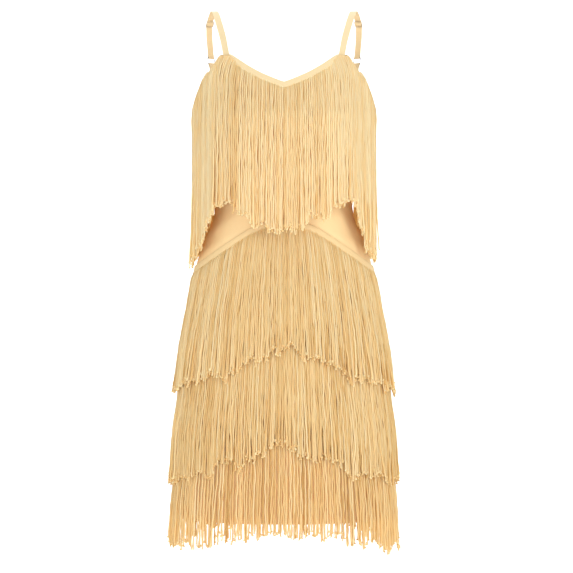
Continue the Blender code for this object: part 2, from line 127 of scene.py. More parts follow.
# height, half width, depth in front, depth behind
FORM_RINGS = np.array((
    (-0.060, 0.1460, 0.083, 0.088),
    (-0.090, 0.1468, 0.090, 0.090),
    (-0.132, 0.1475, 0.105, 0.093),
    (-0.165, 0.1482, 0.118, 0.096),
    (-0.190, 0.1487, 0.127, 0.097),
    (-0.215, 0.1455, 0.124, 0.096),
    (-0.250, 0.1345, 0.110, 0.092),
    (-0.285, 0.1215, 0.097, 0.087),
    (-0.320, 0.1135, 0.090, 0.084),
    (-0.345, 0.1175, 0.089, 0.086),
    (-0.370, 0.1280, 0.091, 0.092),
    (-0.395, 0.1385, 0.094, 0.098),
    (-0.430, 0.1475, 0.098, 0.106),
    (-0.475, 0.1560, 0.103, 0.114),
    (-0.530, 0.1635, 0.107, 0.118),
    (-0.610, 0.1710, 0.110, 0.117),
    (-0.700, 0.1775, 0.111, 0.115),
    (-0.838, 0.1795, 0.112, 0.113),
    (-0.930, 0.1800, 0.112, 0.113),
))
# angle round the body from the centre line, height of the cut edge
FRONT_CUT = np.array((
    (0.0, -0.1312), (6.5, -0.1232), (13.1, -0.1148), (22.4, -0.1010), (31.9, -0.0862), (34.7, -0.0828),
    (41.2, -0.0828), (47.9, -0.0975), (54.0, -0.1105), (60.6, -0.1210), (69.3, -0.1400),
    (79.0, -0.1590), (90.0, -0.1680),
))
BACK_CUT = np.array((
    (0.0, -0.1670), (10.0, -0.1650), (20.0, -0.1600), (30.0, -0.1500), (39.0, -0.1340), (46.0, -0.1130),
    (51.4, -0.0915), (57.0, -0.0917), (60.5, -0.0962), (65.0, -0.1050), (69.3, -0.1170),
    (79.0, -0.1480), (90.0, -0.1680),
))
PANEL_SHELL = (-0.0002, -0.0013)  # outer and inner face, out from the form
HEM_LEVEL = -0.8375
HEM_TURN = 0.018
HEM_STEP, HEM_FOLD = 0.0015, 0.0004  # how softly the turned hem starts, and how much it thickens the edge
DRAG_SLANT = 0.0011  # fall of a drag line with unit slant, in metres for each degree
# side, height and angle of the middle, reach up and round in metres and degrees, depth, slant
WAIST_DRAGS = (
    (-1, -0.352, 50.0, 0.008, 26.0, 0.0016, 0.55),
    (-1, -0.383, 62.0, 0.009, 22.0, -0.0013, 0.65),
    (-1, -0.331, 66.0, 0.006, 16.0, -0.0012, 0.30),
    (-1, -0.408, 70.0, 0.006, 15.0, 0.0009, 0.60),
    (1, -0.347, 55.0, 0.009, 22.0, 0.0014, 0.50),
    (1, -0.376, 58.0, 0.010, 28.0, -0.0013, 0.62),
    (1, -0.397, 72.0, 0.007, 14.0, 0.0011, 0.50),
    (1, -0.325, 70.0, 0.006, 14.0, -0.0010, 0.25),
)


def smooth_steps(table, keys, column=1):
    """A table's column at the keys on one smooth line that never overshoots its rows."""
    rows = table[np.argsort(table[:, 0])]
    x, y = rows[:, 0], rows[:, column]
    gaps = np.diff(x)
    slopes = np.diff(y) / gaps
    ends = np.zeros(len(x))
    ends[0], ends[-1] = slopes[0], slopes[-1]
    same = slopes[1:] * slopes[:-1] > 0
    before = 2 * gaps[1:] + gaps[:-1]
    after = gaps[1:] + 2 * gaps[:-1]
    safe = np.where(same, slopes[1:] * slopes[:-1], 1.0)
    mean = (before + after) * safe / (before * slopes[1:] + after * slopes[:-1] + (~same) * 1e9)
    ends[1:-1] = np.where(same, mean, 0.0)
    keys = np.clip(np.asarray(keys, float), x[0], x[-1])
    k = np.clip(np.searchsorted(x, keys) - 1, 0, len(gaps) - 1)
    t = (keys - x[k]) / gaps[k]
    near = (1 + 2 * t) * (1 - t) ** 2 * y[k] + t * (1 - t) ** 2 * gaps[k] * ends[k]
    return near + t * t * (3 - 2 * t) * y[k + 1] + t * t * (t - 1) * gaps[k] * ends[k + 1]


def form_point(front, angle, half_width, depth, height):
    """Points on the worn form; angle runs from the centre line, negative towards -X."""
    turn = np.radians(np.clip(np.abs(angle), 0, 90))
    x = np.sign(angle) * np.sin(turn) ** (2 / FORM_POWER) * half_width
    y = np.clip(np.cos(turn), 0, 1) ** (2 / FORM_POWER) * depth
    y = np.where(np.abs(angle) > 89.9, 0.00015, y)
    return np.stack([x, -y if front else y, height + 0 * x], axis=-1)


def on_form(front, angle, height, out):
    wide = smooth_steps(FORM_RINGS, height) + out
    deep = smooth_steps(FORM_RINGS, height, 2 if front else 3) + out
    return form_point(front, angle, wide, deep, height)


def cut_height(front, angle):
    return smooth_steps(FRONT_CUT if front else BACK_CUT, np.abs(angle))


def closed_mesh(name, corners, faces, flat=None, mend=True, eased=0.0):
    """A closed smooth mesh that faces outwards; flat is each face corner's place on the cloth's own map."""
    mesh = bpy.data.meshes.new(name)
    mesh.from_pydata(np.asarray(corners).tolist(), [], faces)
    if flat:
        layer_map = mesh.uv_layers.new(name="cloth_map")
        layer_map.data.foreach_set("uv", np.array(flat, np.float32).ravel())
    shape = bmesh.new()
    shape.from_mesh(mesh)
    if mend:
        bmesh.ops.triangulate(shape, faces=[face for face in shape.faces if len(face.verts) > 4])
        bmesh.ops.recalc_face_normals(shape, faces=shape.faces[:])
    if shape.calc_volume(signed=True) < 0:
        bmesh.ops.reverse_faces(shape, faces=shape.faces[:])
    if eased:
        sharp = [edge for edge in shape.edges if edge.calc_face_angle(0) > 0.6]
        bmesh.ops.bevel(shape, geom=sharp, offset=eased, segments=2, affect="EDGES", clamp_overlap=True)
    shape.to_mesh(mesh)
    shape.free()
    mesh.shade_smooth()
    if flat:
        mesh.set_sharp_from_angle(angle=math.radians(50))
    return mesh


def grid_faces(columns, rows, round_columns=False, round_rows=False):
    """Four-sided faces over columns of points, and the column and row of each face corner."""
    faces, spots = [], []
    for j in range(columns if round_columns else columns - 1):
        for k in range(rows if round_rows else rows - 1):
            spot = [(j, k), (j, k + 1), (j + 1, k + 1), (j + 1, k)]
            faces.append([a % columns * rows + b % rows for a, b in spot])
            spots.append(spot)
    return faces, spots


def shell_mesh(name, outer, inner):
    """A closed cloth wall between two grids of points, with a map that runs 0 to 1 across and down."""
    columns, rows = outer.shape[:2]
    layer = columns * rows
    faces, spots = [], []

    def add_face(loop, spot, turned=False):
        faces.append(loop[::-1] if turned else loop)
        spots.append(spot[::-1] if turned else spot)

    for j in range(columns - 1):
        after = j + 1
        for k in range(rows - 1):
            loop = [j * rows + k, j * rows + k + 1, after * rows + k + 1, after * rows + k]
            spot = [(j, k), (j, k + 1), (after, k + 1), (after, k)]
            add_face(loop, spot)
            add_face([layer + c for c in loop], spot, turned=True)
        for k in (0, rows - 1):
            loop = [j * rows + k, after * rows + k, layer + after * rows + k, layer + j * rows + k]
            add_face(loop, [(j, k), (after, k), (after, k), (j, k)], turned=k > 0)
    for j in (0, columns - 1):
        for k in range(rows - 1):
            loop = [layer + j * rows + k, layer + j * rows + k + 1, j * rows + k + 1, j * rows + k]
            add_face(loop, [(j, k), (j, k + 1), (j, k + 1), (j, k)], turned=j > 0)
    corners = np.concatenate([outer.reshape(-1, 3), inner.reshape(-1, 3)])
    flat = [(j / (columns - 1), 1 - k / (rows - 1)) for spot in spots for j, k in spot]
    return closed_mesh(name, corners, faces, flat, mend=False)


def as_piece(name, mesh, surface, slot, *nodes):
    """Puts a finished mesh on the dress in place of its plain solids."""
    mesh.materials.clear()
    mesh.materials.append(surface)
    piece = bpy.data.objects.new(name, mesh)
    bpy.context.scene.collection.objects.link(piece)
    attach(piece, "root")
    if nodes:
        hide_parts(*nodes)
    return piece


def panel_grid(front, angles, rows, out):
    angle = np.repeat(np.array(angles)[:, None], rows, axis=1)
    top = cut_height(front, angle)
    height = top + (HEM_LEVEL - top) * np.linspace(0, 1, rows)[None, :]
    lift = np.full(angle.shape, out)
    if front:
        for side, level, middle, tall, wide, depth, slant in WAIST_DRAGS:
            around = (angle * side - middle) / wide
            up = (height - level + slant * (angle * side - middle) * DRAG_SLANT) / tall
            lift = lift + depth * np.exp(-around**2 - up**2)
    turned = np.clip((HEM_LEVEL + HEM_TURN - height) / HEM_STEP, 0, 1)
    lift = lift + turned * (HEM_FOLD if out == PANEL_SHELL[0] else -HEM_FOLD)
    return on_form(front, angle, height, lift)


class Flow:
    """A value on its way through a node tree, so that sums on it are written as sums."""

    def __init__(self, net, socket):
        self.net, self.socket = net, socket

    def also(self, label):
        """Another output of the same node."""
        return Flow(self.net, self.socket.node.outputs[label])

    def __add__(self, other):
        return self.net.sum("ADD", self, other)

    def __sub__(self, other):
        return self.net.sum("SUBTRACT", self, other)

    def __rsub__(self, other):
        return self.net.sum("SUBTRACT", other, self)

    def __mul__(self, other):
        return self.net.sum("MULTIPLY", self, other)

    def __truediv__(self, other):
        return self.net.sum("DIVIDE", self, other)

    def __rtruediv__(self, other):
        return self.net.sum("DIVIDE", other, self)

    __radd__, __rmul__ = __add__, __mul__


class Net:
    """A node tree under construction; a group or a geometry tree has named inputs and outputs."""

    def __init__(self, tree, inputs=(), outputs=()):
        self.tree = tree
        self.ids = {}
        for in_out, sockets in (("OUTPUT", outputs), ("INPUT", inputs)):
            for label, kind in sockets:
                socket = tree.interface.new_socket(label, in_out=in_out, socket_type="NodeSocket" + kind)
                self.ids[label] = socket.identifier
        if inputs:
            self.given = tree.nodes.new("NodeGroupInput")
            self.result = tree.nodes.new("NodeGroupOutput")

    def get(self, label):
        return Flow(self, self.given.outputs[label])

    def put(self, socket, value):
        value = value.socket if isinstance(value, Flow) else value
        if isinstance(value, bpy.types.NodeSocket):
            self.tree.links.new(value, socket)
        elif value is not None:
            socket.default_value = value

    def add(self, kind, inputs=None, output=0, **settings):
        node = self.tree.nodes.new(kind)
        for key, value in settings.items():
            setattr(node, key, value)
        for key, value in (inputs or {}).items():
            self.put(node.inputs[key], value)
        return Flow(self, node.outputs[output])

    def sum(self, operation, *terms):
        return self.add("ShaderNodeMath", dict(enumerate(terms)), operation=operation)


def yarn_group():
    """Dyed yarn for every cloth here: a faint mottle of colour, and fine threads to raise as bump."""
    group = bpy.data.node_groups.new("dyed_yarn", "ShaderNodeTree")
    colours = (("Light", "Color"), ("Dark", "Color"))
    scales = (("Mottle scale", "Float"), ("Thread scale", "Float"), ("Thread lean", "Vector"))
    yarn = Net(group, (*colours, *scales), (("Colour", "Color"), ("Threads", "Float")))
    place = yarn.add("ShaderNodeTexCoord", output="Object")
    even = {"Vector": place, "Scale": yarn.get("Mottle scale"), "Detail": 4.0}
    mottle = yarn.add("ShaderNodeTexNoise", even, "Fac")
    lean = {0: place, 1: yarn.get("Thread lean")}
    leant = yarn.add("ShaderNodeVectorMath", lean, "Vector", operation="MULTIPLY")
    fine = {"Vector": leant, "Scale": yarn.get("Thread scale"), "Detail": 1.0}
    threads = yarn.add("ShaderNodeTexNoise", fine, "Fac")
    fleck = yarn.sum("MULTIPLY_ADD", threads, 0.45, mottle * 0.55)
    dyes = {"Factor": fleck, "A": yarn.get("Dark"), "B": yarn.get("Light")}
    yarn.put(yarn.result.inputs["Colour"], yarn.add("ShaderNodeMix", dyes, "Result", data_type="RGBA"))
    yarn.put(yarn.result.inputs["Threads"], threads)
    return group


dyed_yarn = yarn_group()
SHADER_NAMES = {
    "rough": "Roughness",
    "gloss": "Specular IOR Level",
    "bloom": "Sheen Weight",
    "bloom_tint": "Sheen Tint",
    "metal": "Metallic",
}
GOLDEN_BLOOM = (1.0, 0.85, 0.6, 1.0)


class Finish(Net):
    """A material under construction, with its shader's even values given by name."""

    def __init__(self, name, **values):
        self.made = bpy.data.materials.new(name)
        self.made.use_nodes = True
        super().__init__(self.made.node_tree)
        self.shader = self.tree.nodes["Principled BSDF"]
        for label, value in values.items():
            self.put(self.shader.inputs[SHADER_NAMES[label]], value)

    def dye(self, light, dark, mottle_scale, thread_scale, thread_lean):
        """Colours the material with dyed yarn, and returns the yarn's threads."""
        colours = {"Light": (*light, 1.0), "Dark": (*dark, 1.0), "Mottle scale": mottle_scale}
        threads = {"Thread scale": thread_scale, "Thread lean": thread_lean}
        colour = self.add("ShaderNodeGroup", {**colours, **threads}, "Colour", node_tree=dyed_yarn)
        self.put(self.shader.inputs["Base Color"], colour)
        return colour.also("Threads")

    def emboss(self, height, strength, distance):
        """Raises the surface by a height, as bump."""
        bump = {"Strength": strength, "Distance": distance, "Height": height}
        self.put(self.shader.inputs["Normal"], self.add("ShaderNodeBump", bump, "Normal"))


def jersey_material(name, light, dark):
    """Fine knit: close upright threads over a faint mottle of light and darker yarn, with a soft bloom."""
    cloth = Finish(name, rough=0.75, gloss=0.1, bloom=0.05, bloom_tint=GOLDEN_BLOOM)
    cloth.emboss(cloth.dye(light, dark, 95.0, 1500.0, (1.0, 1.0, 0.28)), 0.25, 0.0003)
    return cloth.made


jersey = jersey_material("champagne_jersey", (0.87, 0.66, 0.36), (0.83, 0.61, 0.315))
half_turn = [-90 + 180 * k / 66 for k in range(67)]
for facing, front, rows in (("front", True, 84), ("back", False, 52)):
    angles = half_turn if front else half_turn[::2]
    mesh = shell_mesh(facing + "_jersey", *[panel_grid(front, angles, rows, out) for out in PANEL_SHELL])
    as_piece(facing + "_jersey", mesh, jersey, "stretch_jersey", facing + "_panel")

# ------------------------------------------------------------------------------
# Bindings: folded strips of the same jersey, sewn over the neck and armhole edges with one row of stitches.
# The fringe of the top tier hangs from under their outer legs.
BINDING_LEG = 0.0088
STRAP_SEAT_FRONT = (34.7, 41.2)
STRAP_SEAT_BACK = (51.4, 60.5)


def edge_steepness(front, angle):
    low = np.clip(np.abs(angle) - 1.5, 0, 90)
    high = np.clip(np.abs(angle) + 1.5, 0, 90)
    ends = [on_form(front, a, cut_height(front, a), 0.0) for a in (low, high)]
    run = np.hypot(ends[1][..., 0] - ends[0][..., 0], ends[1][..., 1] - ends[0][..., 1])
    rise = ends[1][..., 2] - ends[0][..., 2]
    return np.clip(np.hypot(1.0, rise / np.maximum(run, 1e-6)), 1.0, 2.2)


def binding_loop(front, angle, pucker):
    """The folded strip's section at one place along the edge, as a ring of rounded points."""
    edge = float(cut_height(front, np.array(angle)))
    steep = float(edge_steepness(front, np.array(angle)))
    section = (
        (0.00235, -0.97), (0.00262, -0.93), (0.00268, -0.60), (0.00240, -0.28), (0.00235, 0.05),
        (0.00175, 0.145), (0.00010, 0.175), (-0.00170, 0.165), (-0.00290, 0.10), (-0.00325, -0.10),
        (-0.00325, -0.62), (-0.00300, -0.68), (-0.00225, -0.66), (-0.00215, -0.10), (-0.00150, 0.025),
        (0.00000, 0.045), (0.00100, 0.00), (0.00135, -0.25), (0.00140, -0.93), (0.00165, -0.98),
    )
    ring = []
    for out, share in section:
        height = edge + share * BINDING_LEG * steep
        swell = pucker if out > 0.002 else 0.0
        at_edge = min(height, edge)
        wide = float(smooth_steps(FORM_RINGS, at_edge)) + out + swell
        deep = float(smooth_steps(FORM_RINGS, at_edge, 2 if front else 3)) + out + swell
        ring.append(form_point(front, np.array(angle), wide, deep, np.array(height)))
    return np.array(ring)


def lofted(name, rings):
    """A closed tube of cloth through rings of points, one ring after another."""
    count = len(rings[0])
    faces, spots = grid_faces(len(rings), count, round_rows=True)
    for j in (0, len(rings) - 1):
        faces.append([j * count + k for k in range(count)])
        spots.append([(j, k) for k in range(count)])
    flat = [(j / (len(rings) - 1), k / count) for spot in spots for j, k in spot]
    return closed_mesh(name, np.concatenate(rings), faces, flat)


def even_angles(first, last, step):
    count = max(int(round(abs(last - first) / step)), 2)
    return [first + (last - first) * k / count for k in range(count + 1)]


# painted shade: the bindings are the panels' own jersey, painted darker than the panels to tone down how
# brightly they are lit
binding_cloth = jersey_material("binding_jersey_cloth", (0.72, 0.575, 0.345), (0.67, 0.525, 0.30))
neck_last = {True: STRAP_SEAT_FRONT[0] - 0.15, False: STRAP_SEAT_BACK[0] - 0.15}
binding_runs = {}
for facing, front in (("front", True), ("back", False)):
    run = [(front, a) for a in even_angles(-neck_last[front], neck_last[front], 1.5)]
    binding_runs[facing + "_neck_binding"] = run
for hand, side in (("left", -1), ("right", 1)):
    run = [(True, side * a) for a in even_angles(STRAP_SEAT_FRONT[1] + 0.15, 90.0, 1.8)]
    run += [(False, side * a) for a in even_angles(88.0, STRAP_SEAT_BACK[1] + 0.15, 1.8)]
    binding_runs["armhole_binding_" + hand] = run
bindings = {}
for name, run in binding_runs.items():
    rings = []
    for k, (front, angle) in enumerate(run):
        pucker = 0.00012 * math.sin(k * 2.1) + 0.00008 * math.sin(k * 0.77 + 1.0)
        rings.append(binding_loop(front, angle, pucker))
    mesh = lofted(name + "_strip", rings)
    bindings[name] = as_piece(name + "_strip", mesh, binding_cloth, "binding_jersey", name)

# ------------------------------------------------------------------------------
# Header tapes: flat woven bands laid along rising chevron lines, sewn down along both edges. The lower
# three tiers of fringe are caught under their lower edges.
TAPE_WIDTH = 0.0108
TAPE_SHELL = (0.0023, 0.0014)  # outer and inner face, out from the form
TAPE_CROWN = 0.00028
SLOPE_REACH, SKIRT_HALF_WIDTH = 0.04, 0.16  # a header line's slope is taken over this share of this width
# share of the half width, height of the tape's top edge
HEADER_LINES = {
    2: np.array(((0.0, -0.348), (0.20, -0.352), (0.40, -0.3615), (0.70, -0.3900), (1.0, -0.4240))),
    3: np.array(((0.0, -0.505), (0.25, -0.530), (0.55, -0.5490), (0.84, -0.5670), (1.0, -0.5770))),
    4: np.array(((0.0, -0.655), (0.25, -0.661), (0.55, -0.6720), (1.0, -0.6920))),
}


def width_share(angle):
    return np.sin(np.radians(np.clip(np.abs(angle), 0, 90))) ** (2 / FORM_POWER)


def header_height(tier, angle):
    return smooth_steps(HEADER_LINES[tier], width_share(angle))


def header_measure(tier, angle):
    """Upright measure of a band of unit width along the header line."""
    share = width_share(angle)
    low, high = np.clip(share - SLOPE_REACH, 0, 1), np.clip(share + SLOPE_REACH, 0, 1)
    rise = smooth_steps(HEADER_LINES[tier], high) - smooth_steps(HEADER_LINES[tier], low)
    return np.hypot(1.0, rise / ((high - low) * SKIRT_HALF_WIDTH))


def tape_grid(front, tier, out):
    angle = np.repeat(np.array(half_turn)[:, None], 7, axis=1)
    share = np.array((0.0, 0.04, 0.22, 0.5, 0.78, 0.96, 1.0))[None, :]
    height = header_height(tier, angle) - TAPE_WIDTH * header_measure(tier, angle) * share
    crown = TAPE_CROWN * np.sin(np.pi * share) ** 0.5 if out == TAPE_SHELL[0] else 0.0
    return on_form(front, angle, height, out + crown)


def tape_material():
    """Close woven band: dyed yarn with fine cross ribs along its length."""
    cloth = Finish("woven_header_band", rough=0.7, gloss=0.1, bloom=0.05)
    cloth.dye((0.735, 0.555, 0.30), (0.69, 0.505, 0.255), 120.0, 1800.0, (0.3, 1.0, 1.0))
    place = cloth.add("ShaderNodeUVMap", output="UV", uv_map="cloth_map")
    wave = {"Vector": place, "Scale": 60.0, "Distortion": 0.6}
    ribs = cloth.add("ShaderNodeTexWave", wave, "Fac", wave_type="BANDS", bands_direction="X")
    cloth.emboss(ribs, 0.35, 0.0004)
    return cloth.made


band = tape_material()
tapes = {}
for tier in (2, 3, 4):
    for facing, front in (("front", True), ("back", False)):
        name = "tape_%d_%s" % (tier, facing)
        mesh = shell_mesh(name + "_band", *[tape_grid(front, tier, out) for out in TAPE_SHELL])
        tapes[name] = as_piece(name + "_band", mesh, band, "header_tape", name)

# ------------------------------------------------------------------------------
# Fringe: soft rayon cords, each looped back on itself at its tip, sewn close together under the bindings
# and tapes. The top tier hangs plumb from the bust, clear of the waist, and each lower tier rides over the
# tape of the next.
CORD_RADIUS = 0.00118
SPARE = 1.12  # the hanging surface runs this much past the tips
HANG_ROWS = 44
CAUGHT = 0.0045  # how far up under a binding or a tape the cords are caught
OVER_FOLD = 0.0016  # how far under the fold they start beside the armholes
# Under the straps the top tier fans out as it falls. These are the angle of the fan's middle, its spread and
# its width in degrees, the share of the fall that it takes, and how it eases.
FAN_MIDDLE = {True: 43.0, False: 60.0}
FAN_SPREAD, FAN_WIDTH, FAN_FALL, FAN_EASE = 5.0, 13.0, 0.16, 1.6
ARMHOLE_EASE = 7.0
# share of the half width, height of the tips
TIP_LINES = {
    1: np.array((
        (0.0, -0.3730), (0.374, -0.3490), (0.571, -0.3350), (0.70, -0.3180), (0.745, -0.3270),
        (0.80, -0.3530), (0.86, -0.3810), (0.90, -0.3985), (0.94, -0.4065), (1.0, -0.4090),
    )),
    2: np.array((
        (0.0, -0.549), (0.13, -0.5636), (0.25, -0.572), (0.47, -0.595), (0.76, -0.610), (1.0, -0.625),
    )),
    3: np.array((
        (0.0, -0.707), (0.25, -0.7331), (0.405, -0.7433), (0.545, -0.7523), (0.84, -0.770), (1.0, -0.777),
    )),
    4: np.array(((0.0, -0.8546), (0.25, -0.8572), (0.54, -0.8655), (1.0, -0.8830))),
}
# distance down from the top, clearance from the form
TIER_LIFT = np.array(((0.0, 0.0), (0.034, 0.0002), (0.060, 0.0006), (0.130, 0.0052), (0.215, 0.0074)))
TOP_TIER_LIFT = np.array(((0.0, 0.0), (0.040, 0.0002), (0.270, 0.0006)))
# the top tier is sewn over the armhole bindings, close to their fold: distance down, extra clearance
OVER_BINDING = np.array(((0.0, 0.0028), (0.007, 0.0022), (0.022, 0.0006), (0.050, 0.0)))


def armhole_share(front, angle):
    start = STRAP_SEAT_FRONT[0] if front else STRAP_SEAT_BACK[0]
    t = np.clip((np.abs(angle) - start) / ARMHOLE_EASE + 1, 0, 1)
    return t * t * (3 - 2 * t)


def directed_mesh(name, points, away, edges=(), faces=()):
    """A bare mesh whose points know the way out of the cloth."""
    mesh = bpy.data.meshes.new(name)
    mesh.from_pydata(np.asarray(points).tolist(), edges, faces)
    outward = mesh.attributes.new("outward", "FLOAT_VECTOR", "POINT")
    outward.data.foreach_set("vector", np.asarray(away).ravel().astype(np.float32))
    return mesh


def hanging_surface(front, tier):
    """The surface that a tier hangs in, 0 to 1 across and down, with its outward direction on each point."""
    angles, rows = np.array(half_turn), HANG_ROWS
    share = np.linspace(0, 1, rows)[None, :] * SPARE
    angle = np.repeat(angles[:, None], rows, axis=1)
    if tier == 1:
        # beside the straps the cords start nearer the centre and fan out as they fall
        fan = FAN_SPREAD * np.exp(-(((np.abs(angle) - FAN_MIDDLE[front]) / FAN_WIDTH) ** 2)) * np.sign(angle)
        angle = angle - fan * np.clip(1 - share / FAN_FALL, 0, 1) ** FAN_EASE
        started = angle[:, :1]
        measure = edge_steepness(front, started)
        beside_arm = armhole_share(front, started)
        drop = (BINDING_LEG - CAUGHT) * (1 - beside_arm) + OVER_FOLD * beside_arm
        top = cut_height(front, started) - drop * measure
    else:
        measure = header_measure(tier, angle[:, :1])
        top = header_height(tier, angle[:, :1]) - (TAPE_WIDTH - CAUGHT) * measure
    tips = smooth_steps(TIP_LINES[tier], width_share(angles[:, None]))
    height = top + (tips - top) * share
    wide = np.maximum.accumulate(smooth_steps(FORM_RINGS, height), axis=1)
    deep = np.maximum.accumulate(smooth_steps(FORM_RINGS, height, 2 if front else 3), axis=1)
    lift = smooth_steps(TOP_TIER_LIFT if tier == 1 else TIER_LIFT, top - height)
    if tier == 1:
        lift = lift + beside_arm * smooth_steps(OVER_BINDING, top - height)
    points = form_point(front, angle, wide + lift, deep + lift, height)
    away = form_point(front, angle, wide + lift + 0.01, deep + lift + 0.01, height) - points
    away /= np.linalg.norm(away, axis=-1)[..., None]
    middle = points[:, rows // 2]
    along = np.concatenate([[0.0], np.cumsum(np.linalg.norm(np.diff(middle, axis=0), axis=1))])
    faces, spots = grid_faces(len(angles), rows)
    mesh = directed_mesh("hanging_surface", points.reshape(-1, 3), away, faces=faces)
    layer_map = mesh.uv_layers.new(name="hang_map")
    flat = [(along[j] / along[-1], k / (rows - 1)) for spot in spots for j, k in spot]
    layer_map.data.foreach_set("uv", np.array(flat, np.float32).ravel())
    return mesh, float(along[-1]), float(np.mean(top[:, 0] - tips[:, 0]))


class GeometryNet(Net):
    """A geometry tree under construction, and the way to run it on a mesh."""

    def __init__(self, name, *inputs):
        tree = bpy.data.node_groups.new(name, "GeometryNodeTree")
        super().__init__(tree, (("Geometry", "Geometry"), *inputs), (("Geometry", "Geometry"),))

    def vector(self, x=0.0, y=0.0, z=0.0):
        return self.add("ShaderNodeCombineXYZ", {"X": x, "Y": y, "Z": z})

    def scaled(self, vector, scale):
        return self.add("ShaderNodeVectorMath", {0: vector, "Scale": scale}, "Vector", operation="SCALE")

    def moved(self, point, vector, scale=None):
        step = vector if scale is None else self.scaled(vector, scale)
        return self.add("ShaderNodeVectorMath", {0: point, 1: step}, "Vector", operation="ADD")

    def noise(self, x, y, z):
        """Smooth noise from -1 to 1 at a place."""
        fac = self.add("ShaderNodeTexNoise", {"Vector": self.vector(x, y, z), "Scale": 1.0, "Detail": 1.0})
        return (fac - 0.5) * 2.6

    def random(self, low, high, seed, number):
        value = self.add("FunctionNodeRandomValue", {"ID": number, "Seed": seed}, data_type="FLOAT")
        node = value.socket.node
        floats = [s for s in node.inputs if s.type == "VALUE" and s.enabled]
        self.put(floats[0], low)
        self.put(floats[1], high)
        return Flow(self, [s for s in node.outputs if s.enabled][0])

    def named(self, label, kind="FLOAT"):
        return self.add("GeometryNodeInputNamedAttribute", {"Name": label}, data_type=kind)

    def store(self, geometry, label, value, domain="POINT", kind="FLOAT"):
        kept = {"Geometry": geometry, "Name": label, "Value": value}
        return self.add("GeometryNodeStoreNamedAttribute", kept, data_type=kind, domain=domain)

    def smooth(self, value, low, high):
        """0 at low and 1 at high, with soft ends."""
        reach = {"Value": value, "From Min": low, "From Max": high}
        return self.add("ShaderNodeMapRange", reach, interpolation_type="SMOOTHSTEP")

    def sampled(self, value, map_name, spot):
        """A vector on the given surface, at a spot of its map."""
        node = self.tree.nodes.new("GeometryNodeSampleUVSurface")
        node.data_type = "FLOAT_VECTOR"
        shown = {s.name.replace("Source ", ""): s for s in node.inputs if s.enabled}
        self.put(shown["Mesh"], self.get("Geometry"))
        self.put(shown["Value"], value)
        self.put(shown["UV Map"], self.named(map_name, "FLOAT_VECTOR"))
        self.put(shown["Sample UV"], spot)
        return Flow(self, [s for s in node.outputs if s.name == "Value" and s.enabled][0])

    def end(self, geometry, surface):
        """Ends the tree with a plain, smooth mesh in a finish."""
        geometry = self.add("GeometryNodeSetShadeSmooth", {"Geometry": geometry})
        geometry = self.add("GeometryNodeRealizeInstances", {"Geometry": geometry})
        geometry = self.add("GeometryNodeSetMaterial", {"Geometry": geometry, "Material": self.get(surface)})
        self.put(self.result.inputs["Geometry"], geometry)

    def run(self, name, mesh, values):
        """The tree's result on a mesh, as a plain mesh."""
        holder = bpy.data.objects.new(name, mesh)
        bpy.context.scene.collection.objects.link(holder)
        modifier = holder.modifiers.new(name, "NODES")
        modifier.node_group = self.tree
        for label, value in values.items():
            modifier[self.ids[label]] = value
        holder.update_tag()
        bpy.context.view_layer.update()
        shaped = holder.evaluated_get(bpy.context.evaluated_depsgraph_get())
        made = bpy.data.meshes.new_from_object(shaped)
        holder.modifiers.remove(modifier)
        bpy.data.objects.remove(holder)
        made.name = name
        return made


